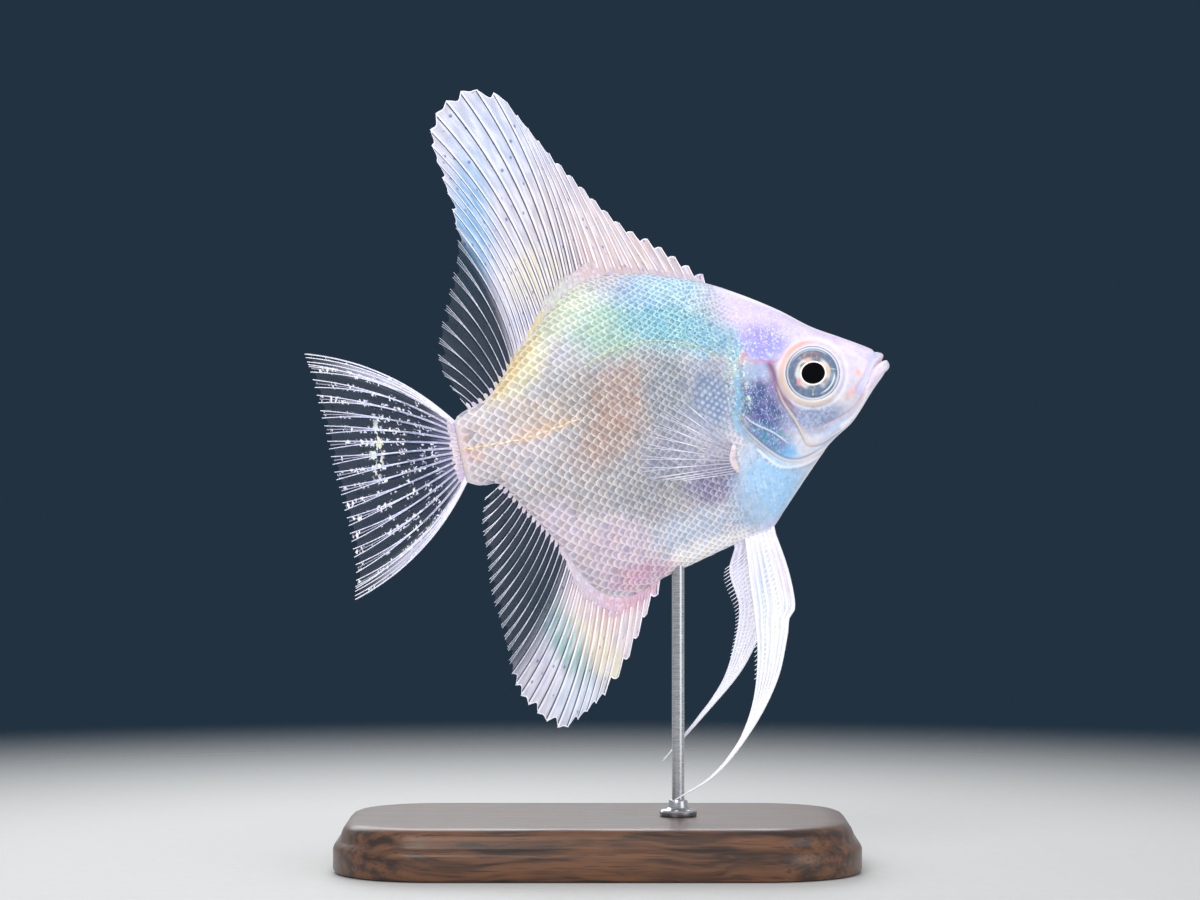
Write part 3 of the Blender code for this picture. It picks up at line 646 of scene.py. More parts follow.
def membrane(name, fan, u, first_t, drop, milk, rows, material, node):
    """A thin closed sheet over the shares u, each column ending drop millimetres short of its ray's tip.
    milk is how milky it is, from 0 for clear to 1: a number, or worked out from u and t."""
    length = fan.length(u)
    end = (0.997 - drop / length)[:, None]
    t = first_t + (end - first_t) * np.linspace(0, 1, rows)[None] ** 0.9
    middle = fan.at(u[:, None], t)
    ray = np.broadcast_to((u * (fan.rays - 1))[:, None], t.shape)
    pleat = PLEAT * np.sin(math.pi * ray) * step(0.05, 0.4, t)
    sides = []
    for side in (-1, 1):
        moved = middle.copy()
        moved[..., 1] += side * MEMBRANE + pleat
        sides.append(moved)
    half = 0.5 / (fan.rays - 1)
    across = fan.at(np.clip(u + half, 0, 1)[:, None], t) - fan.at(np.clip(u - half, 0, 1)[:, None], t)
    gap = np.linalg.norm(across, axis=-1)
    gap[[0, -1]] = gap[[1, -2]]
    made = closed_sheet(name, sides, material)
    milky = milk(u[:, None] + 0 * t, t) if callable(milk) else np.full(t.shape, milk)
    for word, numbers in (("fin", (ray, t, (end - t) * length[:, None])),
                          ("web", (gap, t * length[:, None], milky))):
        values = np.stack(numbers, -1).reshape(-1, 3)
        give(made, word, np.concatenate([values, values]))
    place(made, "fin", node)


def closed_sheet(name, sides, material):
    """Two grids of points face to face, joined round their rims."""
    rows, columns = sides[0].shape[:2]
    count = rows * columns
    faces = grid_faces(rows, columns)
    ring = np.concatenate([np.arange(columns), np.arange(1, rows) * columns + columns - 1,
                           (rows - 1) * columns + np.arange(columns - 2, -1, -1),
                           np.arange(rows - 2, 0, -1) * columns])
    after = np.roll(ring, -1)
    wall = np.stack([ring, ring + count, after + count, after], -1)
    points = np.concatenate([sides[0].reshape(-1, 3), sides[1].reshape(-1, 3)])
    return made_mesh(name, points, np.concatenate([faces, faces[:, ::-1] + count, wall]), material,
                     sharp_angle=60)


def tubes(name, slot, lines, wide, thick, info, material, sides=6):
    """Closed tubes along lines (tube, point, xyz), wide in the plane of the fin and thick across it. info
    has three numbers for each point of the lines, which the material reads."""
    count = lines.shape[1]
    way = np.gradient(lines, axis=1)
    way /= np.linalg.norm(way, axis=2, keepdims=True) + 1e-12
    across = np.array([0.0, 1.0, 0.0]) - way * way[..., 1:2]
    across /= np.linalg.norm(across, axis=2, keepdims=True)
    in_plane = np.cross(way, across)
    turn = np.arange(sides) * 2 * math.pi / sides
    ring = (in_plane[:, :, None] * (np.cos(turn)[:, None] * wide[..., None, None])
            + across[:, :, None] * (np.sin(turn)[:, None] * thick[..., None, None]))
    points = (lines[:, :, None] + ring).reshape(-1, 3)
    offsets = (np.arange(len(lines)) * count * sides)[:, None, None]
    groups = [(group[None] + offsets).reshape(-1, group.shape[1]) for group in closed_faces(count, sides)]
    made = made_mesh(name, points, groups, material, sharp_angle=70)
    give(made, "ray", np.repeat(info.reshape(-1, 3), sides, axis=0))
    place(made, slot)


def ray_tubes(name, fan, shares, material, root_wide, tip_wide, split_at=None, spread=0.13, end=0.994,
              first_t=-0.05, points=34, overshoot=0.0):
    """Rays of a fan. A ray that splits has two branches that part by a share of the rays' spacing."""
    lines, wide, info = [], [], []
    t = np.linspace(first_t, end, points)
    gap = 1.0 / (fan.rays - 1)
    for n, u in enumerate(shares):
        branches = (0.0,) if split_at is None else (-1.0, 1.0)
        splits = None if split_at is None else split_at + chance.uniform(-0.05, 0.05)
        reach = t * (1 + overshoot * chance.uniform(-1, 1))
        reach = np.minimum(reach, 0.994)
        for branch in branches:
            path = np.full(points, float(u))
            taper = root_wide + (tip_wide - root_wide) * np.clip(t, 0, 1) ** 0.6
            if branch:
                path = path + branch * spread * gap * step(splits, 1.25, t) * 1.6
                taper = taper * np.where(t > splits, 0.8, 1.0)
            lines.append(fan.at(path, reach))
            wide.append(taper)
            length = float(fan.length(np.array([u]))[0])
            info.append(np.stack([np.full(points, n + 0.37 * branch), t, t * length], -1))
    wide = np.array(wide)
    tubes(name, "fin", np.array(lines), wide, wide * 0.8 + 0.03, np.array(info), material)


def spine_drop(u, rays, depth):
    """How far the membrane between spines falls short: a hooked lobe behind each tip, then a notch."""
    f = (u * (rays - 1)) % 1.0
    return np.where(f < 0.84, depth * (f / 0.84) ** 1.4, depth * step(1.0, 0.86, f)) + 0.03


def ray_drop(u, rays, depth):
    """How far the membrane between rays falls short of their tips, most half way between two."""
    f = (u * (rays - 1)) % 1.0
    return depth * (0.25 + 0.75 * np.sin(math.pi * f) ** 2)


def shares_between(rays, steps):
    """Shares for a membrane's columns, so many steps from each ray to the next."""
    return np.linspace(0, 1, (rays - 1) * steps + 1)


def median_fins(web, rays_finish):
    """Dorsal, anal and tail fins."""
    dorsal_front = Fan(outline_root(BACK, (43.6, 27.2), 1), DORSAL_SPINE_TIPS, 13, lambda u: 0.05 * u, 0.0)
    dorsal_rear = Fan(outline_root(BACK, (27.2, 2.0), 1), DORSAL_SPINE_TIPS[-1:] + DORSAL_RAY_TIPS[1:], 28,
                      lambda u: 0.05 + 0.30 * u * (1 - u), 0.8)
    anal_front = Fan(outline_root(BELLY, (26.6, 20.4), -1), ANAL_SPINE_TIPS, 6, lambda u: -0.05 * u, 0.0)
    anal_rear = Fan(outline_root(BELLY, (20.4, 4.6), -1), ANAL_SPINE_TIPS[-1:] + ANAL_RAY_TIPS[1:], 27,
                    lambda u: -0.05 - 0.20 * u * (1 - u), 0.8)
    for name, fan, depth in (("dorsal", dorsal_front, 1.6), ("anal", anal_front, 2.6)):
        u = shares_between(fan.rays, 14)
        membrane(name + "_spines_membrane", fan, u, -0.04, spine_drop(u, fan.rays, depth), 1.0, 26, web,
                 name + "_fin_spines")
        ray_tubes(name + "_spines", fan, np.linspace(0, 1, fan.rays), rays_finish, 0.2, 0.08)
    soft_fin("dorsal", dorsal_rear, lambda u, t: 1 - step(0.55, 0.68, u + 0.06 * (t - 0.5)), 15, web,
             rays_finish)
    soft_fin("anal", anal_rear, lambda u, t: 1 - 0.97 * step(0.28, 0.50, u), 11, web, rays_finish)
    return dorsal_front, dorsal_rear, anal_front, anal_rear, tail_fin(web, rays_finish)


def soft_fin(word, fan, milk, milky_rays, web, rays_finish):
    """A fan of soft rays: single in its milky part, branched where it is clear."""
    name = word + "_rays"
    u = shares_between(fan.rays, 8)
    depth = 0.9 + 0.5 * np.sin(9.1 * np.round(u * (fan.rays - 1) - 0.5))
    membrane(name + "_membrane", fan, u, -0.03, ray_drop(u, fan.rays, depth.clip(0.5)), milk, 70, web,
             word + "_fin_rays")
    shares = np.linspace(0, 1, fan.rays)[1:]
    ray_tubes(name + "_front", fan, shares[:milky_rays], rays_finish, 0.15, 0.07)
    ray_tubes(name + "_rear", fan, shares[milky_rays:], rays_finish, 0.11, 0.045, split_at=0.5,
              overshoot=0.02)


def tail_fin(web, rays_finish):
    """The tail fin: clear with a milky foot and edges, stout outer rays and branched inner ones."""
    caudal = Fan(CAUDAL_ROOTS, CAUDAL_TIPS, 17, lambda u: 0.17 * (1 - 2 * u), 0.9)
    u = shares_between(caudal.rays, 10)

    def milk(u, t):
        edge = step(0.10, 0.02, u) + step(0.90, 0.98, u)
        return np.clip(0.4 * step(0.26, 0.02, t) + 0.7 * edge * step(1.0, 0.5, t), 0, 1)

    membrane("tail_fin_membrane", caudal, u, -0.02, ray_drop(u, caudal.rays, 0.7) + 0.2, milk, 60, web,
             "caudal_fin")
    outer = [0.004, 0.018, 0.036, 0.055, 0.945, 0.964, 0.982, 0.996]
    ray_tubes("tail_fin_edges", caudal, outer, rays_finish, 0.24, 0.06, first_t=-0.1)
    ray_tubes("tail_fin_rays", caudal, np.linspace(0, 1, caudal.rays)[1:-1], rays_finish, 0.24, 0.085,
              spread=0.2, split_at=0.4, first_t=-0.12, overshoot=0.01, points=44)
    return caudal


def sheath(name, fan, start, reach, clear, material):
    """Small scales that climb a fin's foot from the body, on both its sides. Where clear is 1 they are few
    behind its middle."""
    shape, triangles = scale_form((1.0,), 8)
    u, rows = np.meshgrid(np.linspace(0.004, 0.996, (fan.rays - 1) * 2 + 1), np.arange(12), indexing="ij")
    climb = (0.15 + 0.42 * (rows + 0.5 * (np.arange(u.shape[0]) % 2)[:, None])).ravel()
    u = u.ravel() + chance.normal(0, 0.0015, u.size)
    limit = reach * chance.uniform(0.6, 1.0, u.size) * (1 - 0.9 * clear * step(0.30, 0.52, u))
    keep = climb < limit
    u, climb = u[keep, None], (climb + start)[keep, None]
    length = fan.length(u[:, 0])[:, None]
    size = 0.34 * (1.15 - 0.5 * climb / (reach + 0.5))
    back, up, top = shape.T[:, None]
    beside = 0.01
    near = (fan.at(np.clip(u + beside, 0, 1), climb / length)
            - fan.at(np.clip(u - beside, 0, 1), climb / length))
    across = size * back / np.linalg.norm(near, axis=-1) * (2 * beside)
    middle = fan.at(np.clip(u + across, 0, 1), (climb + 1.35 * size * up) / length)
    own = flakes(triangles, len(u), len(shape))
    points = []
    for side in (-1, 1):
        sheet = middle.copy()
        sheet[..., 1] += side * (MEMBRANE + PLEAT + 0.05 * top + 0.02 * (1 - back ** 2 - up ** 2))
        points.append(sheet.reshape(-1, 3))
    faces = np.concatenate([own, own[:, ::-1] + len(points[0])])
    made = made_mesh(name, np.concatenate(points), faces, material, sharp_angle=48)
    local = flake_numbers(back, up, len(u)).reshape(-1, 3)
    give(made, "scale", np.concatenate([local, local]))
    at = np.stack([MAP_MARGIN + MAP_REACH * u + MAP_SPREAD * back,
                   MAP_MARGIN + 0.1 * climb + MAP_SPREAD * up], -1).reshape(-1, 2)
    chart(made, np.concatenate([at, at + (0, 0.5)]))
    place(made, "fin")


class Blade:
    """A pelvic fin between its front and rear edges, drawn out to a thread."""

    def __init__(self, edges, side):
        self.front, self.rear = edges
        self.side, self.rays = side, 7

    def at(self, u, t):
        u, t = np.broadcast_arrays(np.asarray(u, float), np.asarray(t, float))
        front, rear = along(self.front, np.clip(t, 0, 1)), along(self.rear, np.clip(t, 0, 1))
        flat = front + (rear - front) * u[..., None]
        out = PELVIC_BASE_OUT * (0.25 + 0.75 * step(-0.05, 0.09, t))
        out = self.side * (out + (PELVIC_TIP_OUT - PELVIC_BASE_OUT) * np.clip(t, 0, 1))
        root = np.minimum(t, 0)[..., None] * np.array([0, 0, -30.0])
        return np.stack([flat[..., 0], out, flat[..., 1]], -1) + root

    def length(self, u):
        return np.full(np.shape(u), PELVIC_LENGTH)


def pelvic_fin(word, blade, skin_of_fins, rays_finish):
    """A pelvic fin: its membrane, a stout spine along the front edge, and rays whose ends part as a comb."""
    rays, points = blade.rays, 70
    u = shares_between(rays, 8)
    drop = np.where(u > 0.01, ray_drop(u, rays, 0.3) + PELVIC_REAR_SHORT * u ** 2, 0.0)
    membrane("pelvic_" + word + "_membrane", blade, u, -0.06, drop, 1.0, 90, skin_of_fins,
             "pelvic_fin_" + word)
    lines, wide, info = [], [], []
    for n in range(rays):
        share = n / (rays - 1)
        end = 1 - PELVIC_REAR_SHORT * share ** 2 / PELVIC_LENGTH
        t = np.linspace(-0.06, end, points)
        lines.append(blade.at(share * (1 - 0.15 * step(0.5, 1.0, t)), t))
        wide.append((0.34 if n == 0 else 0.24) * (1 - t / max(end, 0.01)).clip(0) ** 0.55 + 0.05)
        info.append(np.stack([np.full(points, float(n)), t, t * PELVIC_LENGTH], -1))
    wide = np.array(wide)
    tubes("pelvic_" + word + "_rays", "fin", np.array(lines), wide, wide * 0.7 + 0.03, np.array(info),
          rays_finish, sides=8)


def pelvic_comb(word, blade, rays_finish):
    """The free tips of branched rays along the upper part of a pelvic fin's rear edge."""
    lines, wide, info = [], [], []
    run, count = np.linspace(0, 1, 14), 26
    bow = np.array([0.0, 0.0, -0.25]) * np.sin(math.pi * run)[:, None]
    for n in range(count):
        t = 0.02 + 0.40 * n / (count - 1)
        start, end = blade.at(0.35, t - 0.02), blade.at(1.0, t + 0.035)
        end = end + np.array([-1.5, 0.0, -1.1]) * (1 - 0.6 * n / (count - 1))
        lines.append(start + (end - start) * run[:, None] + bow)
        wide.append(0.17 - 0.13 * run)
        info.append(np.stack([np.full(len(run), float(n)), 0.4 + 0.6 * run, 3 * run], -1))
    wide = np.array(wide)
    tubes("pelvic_" + word + "_comb", "fin", np.array(lines), wide, wide * 0.8, np.array(info), rays_finish)


class FlankFan(Fan):
    """A pectoral fin: a fan that springs from the flank and opens back and out."""

    def __init__(self, side):
        self.root, self.tips, self.rays, self.side = PECTORAL_ROOTS, PECTORAL_TIPS, 12, side

    def at(self, u, t):
        u, t = np.broadcast_arrays(np.asarray(u, float), np.asarray(t, float))
        root, tip = along(self.root, np.clip(u, 0, 1)), along(self.tips, np.clip(u, 0, 1))
        flat = root + (tip - root) * t[..., None]
        level = smooth(WIDEST_AT, root[..., 0])
        drop = (level - root[..., 1]) / (level - smooth(BELLY, root[..., 0]))
        start = smooth(HALF_WIDTH, root[..., 0]) * (1 - drop ** 2) ** (KEEL / 2)
        spread = math.tan(math.radians(PECTORAL_OPENING)) * np.linalg.norm(flat - root, axis=-1)
        out = start - 0.15 + 0.9 * step(-0.02, 0.16, t) + spread * np.sign(t)
        return np.stack([flat[..., 0], self.side * out, flat[..., 1]], -1)


def pectoral_fin(word, side, skin_of_fins, rays_finish):
    """A pectoral fin's membrane and rays, and the pad that they spring from."""
    fin = FlankFan(side)
    u = shares_between(fin.rays, 6)
    membrane("pectoral_" + word + "_membrane", fin, u, -0.02, ray_drop(u, fin.rays, 0.3), 0.12, 30,
             skin_of_fins, "pectoral_fin_" + word)
    ray_tubes("pectoral_" + word + "_rays", fin, np.linspace(0, 1, fin.rays), rays_finish, 0.14, 0.03,
              split_at=0.4)
    u = np.linspace(0, 1, 24)
    wide = 0.20 + 0.44 * np.sin(math.pi * u)[None].clip(0) ** 0.5
    root = fin.at(u, 0.0) + np.array([0.22, 0.0, 0.0])
    tubes("pectoral_" + word + "_base", "fin", root[None], wide, wide * 0.6, np.zeros((1, len(u), 3)),
          rays_finish, sides=10)


# ---- Eyes ----
def eye(word, side, material):
    """A wet dome: the pupil's lens stands a little proud of the iris."""
    rings, tucked, spokes = 48, 7, 96
    radius = np.concatenate([np.linspace(0.0, 0.985, rings), np.linspace(0.985, 0.6, tucked + 1)[1:]])
    rise = np.sqrt(1 - np.minimum(radius, 0.999) ** 2)
    rise[rings:] = -0.15 - 0.04 * np.arange(tucked)
    out = EYE_AT[1] + EYE_SIZE[1] * rise * 0.97
    out -= 0.12 * step(0.47, 0.52, radius) * (np.arange(len(radius)) < rings)
    out[:rings] += 0.03 * bell(radius[:rings] - 0.97, 0.03)
    turn = np.arange(spokes) * 2 * math.pi / spokes
    x = EYE_AT[0] + EYE_SIZE[0] * radius[1:, None] * np.cos(turn)[None]
    z = EYE_AT[2] + EYE_SIZE[2] * radius[1:, None] * np.sin(turn)[None]
    y = np.broadcast_to(side * out[1:, None], x.shape)
    middle = [[EYE_AT[0], side * out[0], EYE_AT[2]]]
    points = np.concatenate([middle, np.stack([x, y, z], -1).reshape(-1, 3)])
    k = np.arange(spokes)
    cap = np.stack([np.zeros(spokes, int), k + 1, (k + 1) % spokes + 1], -1)
    back = (k + 1 + (len(radius) - 2) * spokes)[None]
    groups = [grid_faces(len(radius) - 1, spokes, wrap=True) + 1, cap[:, ::-1], back]
    made = made_mesh("eye_" + word + "_dome", points, [group[:, ::side] for group in groups], material,
                     sharp_angle=50)
    place(made, "eye", "eye_" + word)


# ---- Stand ----
def stand_top(material):
    """The base: a rounded slab with a cove round its upper edge and a shallow foot."""
    profile = [(0.9, 0.0), (0.25, 0.25), (0.0, 0.8), (0.0, 3.9), (0.25, 4.5), (0.9, 5.0), (1.2, 5.5),
               (1.35, 6.3), (1.7, 7.1), (2.3, 7.7), (3.1, 8.0)]
    corner_steps = 16
    rings = []
    for inset, height in [(12.0, 0.0)] + profile + [(6.0, 8.0), (12.0, 8.0)]:
        outline = []
        radius = max(BASE_CORNER - inset, 0.5)
        for quarter, (sx, sy) in enumerate(((1, 1), (-1, 1), (-1, -1), (1, -1))):
            cx = sx * (BASE_LENGTH / 2 - inset - radius)
            cy = sy * (BASE_DEPTH / 2 - inset - radius)
            for i in range(corner_steps + 1):
                turn = math.pi / 2 * (quarter + i / corner_steps)
                outline.append((cx + radius * math.cos(turn), cy + radius * math.sin(turn), height))
        rings.append(outline)
    made = made_mesh("stand_base_wood", np.array(rings).reshape(-1, 3),
                     closed_faces(len(rings), len(rings[0])), material, sharp_angle=35)
    settle(made, "walnut", "stand_base")


def turned(name, profile, spokes, material, slot, *nodes):
    """A solid turned about the rod's axis from (radius, height) points, bottom to top."""
    turn = np.arange(spokes) * 2 * math.pi / spokes
    profile = np.array(profile)
    points = np.stack([ROD_X + profile[:, :1] * np.cos(turn)[None], profile[:, :1] * np.sin(turn)[None],
                       np.broadcast_to(profile[:, 1:], (len(profile), spokes))], -1)
    made = made_mesh(name, points.reshape(-1, 3), closed_faces(len(profile), spokes), material,
                     sharp_angle=35)
    settle(made, slot, *nodes)


def stand(wood, steel):
    stand_top(wood)
    rod = [(ROD_RADIUS, BASE_HEIGHT), (ROD_RADIUS, ROD_TOP)]
    turned("stand_rod_steel", rod, 48, steel, "steel", "stand_rod")
    collar = [(2.9, 8.0), (3.0, 8.15), (3.0, 8.75), (2.8, 9.0), (1.9, 9.15), (1.6, 9.4), (1.55, 10.3),
              (1.4, 10.6), (1.02, 10.7)]
    turned("stand_collar", collar, 64, steel, "steel")


# ---- Materials ----
def linear(colour):
    """A display colour, 0 to 255 for each channel, as the light it stands for."""
    shares = [channel / 255 for channel in colour]
    return tuple(c / 12.92 if c < 0.04045 else ((c + 0.055) / 1.055) ** 2.4 for c in shares) + (1.0,)


class Value:
    """What a socket of a material's nodes gives. Arithmetic on it adds the node that works it out."""

    def __init__(self, finish, socket):
        self.finish, self.socket = finish, socket

    def __add__(self, other):
        return self.finish.math("ADD", self, other)

    def __sub__(self, other):
        return self.finish.math("SUBTRACT", self, other)

    def __rsub__(self, other):
        return self.finish.math("SUBTRACT", other, self)

    def __mul__(self, other):
        return self.finish.math("MULTIPLY", self, other)

    def __abs__(self):
        return self.finish.math("ABSOLUTE", self)

    def larger(self, other):
        return self.finish.math("MAXIMUM", self, other)

    def fade(self, low, high, start=0.0, end=1.0):
        """start where this is low, end where it is high, smooth between."""
        given = dict(enumerate((self, low, high, start, end)))
        return self.finish.node("ShaderNodeMapRange", given, interpolation_type="SMOOTHSTEP")


class Finish:
    """One material's nodes. Most methods add a node and give back the Value of one of its outputs."""

    def __init__(self, name, roughness, posed=True, **constants):
        """spot is the place in millimetres: in the fish's frame when the material is for a posed piece."""
        self.material = bpy.data.materials.new(name)
        self.material.use_nodes = True
        self.nodes, self.links = self.material.node_tree.nodes, self.material.node_tree.links
        self.shader = self.nodes["Principled BSDF"]
        self.shader.inputs["Roughness"].default_value = roughness
        for socket, value in constants.items():
            self.shader.inputs[socket.replace("_", " ")].default_value = value
        frame_of = self.add("ShaderNodeMapping", vector_type="TEXTURE")
        self.links.new(self.add("ShaderNodeTexCoord").outputs["Object"], frame_of.inputs["Vector"])
        frame_of.inputs["Scale"].default_value = (MM, MM, MM)
        if posed:
            frame_of.inputs["Location"].default_value = Vector(FISH_AT) * MM
            frame_of.inputs["Rotation"].default_value = (0.0, -math.radians(PITCH), 0.0)
        self.spot = Value(self, frame_of.outputs[0])

    def add(self, kind, **settings):
        node = self.nodes.new(kind)
        for name, value in settings.items():
            setattr(node, name, value)
        return node

    def feed(self, socket, value):
        if isinstance(value, Value):
            self.links.new(value.socket, socket)
        else:
            socket.default_value = value

    def node(self, kind, given, output=0, **settings):
        """A node with these values at its inputs, which are given by number or name."""
        node = self.add(kind, **settings)
        for socket, value in given.items():
            self.feed(node.inputs[socket], value)
        return Value(self, node.outputs[output])

    def set(self, socket, value):
        self.feed(self.shader.inputs[socket], value)

    def math(self, operation, a, b=0.0, clamp=False):
        return self.node("ShaderNodeMath", {0: a, 1: b}, operation=operation, use_clamp=clamp)

    def vector(self, operation, a, b=None):
        given = {0: a}
        if b is not None:
            given["Scale" if operation == "SCALE" else 1] = b
        output = "Value" if operation == "LENGTH" else "Vector"
        return self.node("ShaderNodeVectorMath", given, output, operation=operation)

    def parts(self, vector):
        node = self.add("ShaderNodeSeparateXYZ")
        self.feed(node.inputs[0], vector)
        return [Value(self, socket) for socket in node.outputs]

    def joined(self, x, y, z):
        return self.node("ShaderNodeCombineXYZ", {0: x, 1: y, 2: z})

    def own(self, name):
        """The three numbers that the piece's points hold under this name."""
        return self.parts(self.node("ShaderNodeAttribute", {}, "Vector", attribute_name=name))

    def moved(self, *way):
        return self.vector("ADD", self.spot, way)

    def shaken(self, scale, reach):
        """The spot, moved by noise up to reach millimetres each way, which roughens the edges of patches."""
        push = self.vector("SCALE", self.noise(scale, 3, output="Color"), 2 * reach)
        return self.vector("ADD", self.spot, self.vector("SUBTRACT", push, (reach, reach, reach)))

    def mix(self, share, a, b, blend="MIX"):
        """a where share is 0 and b where it is 1; each is a Value or a display colour."""
        a, b = [linear(colour) if isinstance(colour, tuple) else colour for colour in (a, b)]
        return self.node("ShaderNodeMix", {0: share, 6: a, 7: b}, 2, data_type="RGBA", blend_type=blend,
                         clamp_factor=True)

    def shade(self, share, colour, tone):
        """A colour multiplied by a tone where share is 1."""
        return self.mix(share, colour, self.mix(1.0, colour, tone, "MULTIPLY"))

    def noise(self, scale, detail=3.0, where=None, stretch=(1, 1, 1), output="Fac"):
        place = self.vector("MULTIPLY", where or self.spot, stretch)
        return self.node("ShaderNodeTexNoise", {"Vector": place, "Scale": scale, "Detail": detail}, output)

    def cells(self, scale, where=None, output="Distance", stretch=(1, 1, 1), jitter=1.0):
        place = self.vector("MULTIPLY", where or self.spot, stretch)
        given = {"Vector": place, "Scale": scale, "Randomness": jitter}
        return self.node("ShaderNodeTexVoronoi", given, output, feature="F1")

    def patch(self, where, centre, size, turn=0.0, edge=0.3):
        """1 inside an oval on the fish's side and 0 outside it, through a soft rim."""
        given = {"Vector": where, "Location": (centre[0], 0, centre[1]),
                 "Rotation": (0, -math.radians(turn), 0), "Scale": (size[0], 1e6, size[1])}
        inside = self.node("ShaderNodeMapping", given, vector_type="TEXTURE")
        return self.vector("LENGTH", inside).fade(1.0, edge)

    def painted(self, base, patches, where):
        """A colour with soft patches (colour, centre, size, turn, strength) laid over it in order."""
        for colour, centre, size, turn, strength in patches:
            base = self.mix(self.patch(where, centre, size, turn) * strength, base, colour)
        return base

    def bump(self, height, strength, distance):
        given = {"Strength": strength, "Distance": distance * MM, "Height": height}
        self.set("Normal", self.node("ShaderNodeBump", given))


# Patches of the body: display colour, centre, half sizes, turn in degrees, strength. With two more patches
# than these the scales rendered black, as their material was then too large for Cycles.
BODY_BASE = (204, 201, 210)
BODY_PATCHES = [
    ((206, 194, 196), (5, 0), (14, 11), 0, 1.0),
    ((176, 170, 172), (16, -9), (13, 9), 20, 0.95),
    ((176, 175, 172), (19, 4), (9, 9), 0, 0.85),
    ((204, 186, 170), (13, 3.5), (7, 4), 0, 0.7),
    ((236, 228, 186), (11, 12), (10, 6), 45, 1.0),
    ((218, 228, 196), (19, 19), (10, 6), 25, 0.9),
    ((238, 206, 138), (10.4, 11.4), (9.0, 2.0), 44, 0.7),
    ((164, 204, 184), (27, 14.5), (10, 7.5), 0, 0.95),
    ((138, 200, 216), (36, 13.2), (11.5, 6.4), -24, 1.0),
    ((150, 190, 240), (33, 19), (8, 4), -8, 0.55),
    ((194, 230, 250), (38, 19), (9, 4.5), -22, 0.95),
    ((162, 152, 148), (26, 1), (14, 12), 20, 0.85),
    ((186, 148, 130), (26.5, 3.5), (10, 6.5), 25, 0.5),
    ((182, 144, 128), (23, -3), (9, 5), 30, 0.5),
    ((138, 148, 160), (34, 2), (6, 10), 0, 0.9),
    ((98, 120, 154), (40.5, 0), (5.5, 9), 0, 0.9),
    ((152, 152, 158), (28, -12.5), (11, 8.5), 0, 0.95),
    ((132, 138, 156), (32.5, -7.5), (6.5, 5.5), 0, 0.6),
    ((126, 122, 162), (38, -13.5), (6.5, 5), 10, 0.95),
    ((154, 194, 228), (47.3, -16), (8.6, 10.5), 0, 1.0),
    ((192, 204, 222), (34, -20), (10, 4.0), 5, 0.85),
    ((160, 186, 212), (43.0, -19.0), (4.2, 5.0), 30, 0.75),
    ((206, 196, 228), (46.6, -22.6), (2.6, 2.0), 0, 0.6),
    ((255, 255, 255), (35.5, -24.8), (13.5, 4.3), 5, 1.0),
    ((212, 190, 206), (20, -22), (10, 9), 25, 0.9),
    ((212, 160, 188), (24, -25.8), (8, 3.4), 5, 0.8),
    ((224, 206, 222), (12, -15), (6, 7), 40, 0.8),
    ((206, 194, 232), (49.6, 10.4), (7.5, 5.6), -30, 1.0),
    ((214, 202, 234), (51, 11.8), (12, 3.4), -33, 0.9),
    ((126, 188, 212), (41.8, 9.6), (4.4, 4.6), -35, 0.85),
    ((230, 218, 242), (62, 4.5), (9, 6.5), -20, 1.0),
    ((216, 196, 238), (61.5, 5.8), (4.0, 1.2), -25, 0.7),
    ((150, 176, 240), (50.6, 6.8), (4.6, 3.4), -10, 0.9),
    ((116, 178, 206), (45.4, 7.6), (3.0, 5.0), 10, 0.85),
    ((64, 80, 128), (48.2, -3.2), (5.8, 8.8), 10, 1.0),
    ((138, 122, 164), (51.2, -0.6), (2.4, 3.6), 0, 0.7),
    ((160, 176, 208), (49.0, 3.2), (3.6, 2.6), 0, 0.9),
    ((66, 126, 156), (48.2, -8.4), (5.2, 3.0), -35, 0.95),
    ((84, 162, 216), (50.8, -11.0), (2.6, 1.2), 5, 0.7),
    ((116, 130, 164), (56.2, -6.4), (7.2, 3.4), -10, 0.9),
    ((190, 204, 230), (58.6, -10.0), (7.5, 2.6), 38, 0.8),
    ((238, 226, 242), (67.0, -2.0), (4.8, 3.0), 40, 0.9),
    ((226, 146, 132), (46.9, 5.4), (0.8, 2.4), -35, 0.7),
    ((220, 150, 150), (48.6, 4.2), (1.8, 0.5), -20, 0.6),
    ((242, 172, 134), (64.4, -0.9), (0.9, 1.2), 0, 0.7),
    ((238, 166, 150), (62.9, -3.6), (2.2, 0.7), 38, 0.6),
    ((232, 196, 168), (13, 0.6), (8.5, 2.0), 6, 0.6),
    ((216, 186, 190), (-0.4, 0.0), (2.6, 5.5), 0, 0.6),
    ((226, 178, 152), (1.5, -0.8), (1.6, 2.2), 0, 0.5),
]


def body_colour(finish):
    """The markings that skin and scales share, and the shaken places that they are drawn at."""
    where = finish.shaken(0.45, 0.9)
    colour = finish.painted(BODY_BASE, BODY_PATCHES, where)
    mottle = finish.noise(1.3, 4)
    colour = finish.mix(mottle.fade(0.52, 0.75, 0.0, 0.25), colour, (250, 247, 252))
    colour = finish.shade(mottle.fade(0.48, 0.25, 0.0, 0.35), colour, (190, 194, 206))
    face = finish.patch(finish.spot, (61, 2.5), (11, 9), -20)
    cloud = finish.noise(0.42, 2, where=finish.moved(8, 0, 2))
    colour = finish.mix(cloud.fade(0.48, 0.66) * (face * 0.5), colour, (206, 192, 234))
    colour = finish.mix(cloud.fade(0.46, 0.32) * (face * 0.35), colour, (250, 216, 218))
    colour = gill_pigment(finish, pigment(finish, colour, where), where)
    for name, shades in MARK_COLOURS.items():
        for mark, tone in zip(finish.own(name), shades):
            colour = finish.mix(finish.math("MULTIPLY", mark, 0.88, clamp=True), colour, tone)
    return colour, where


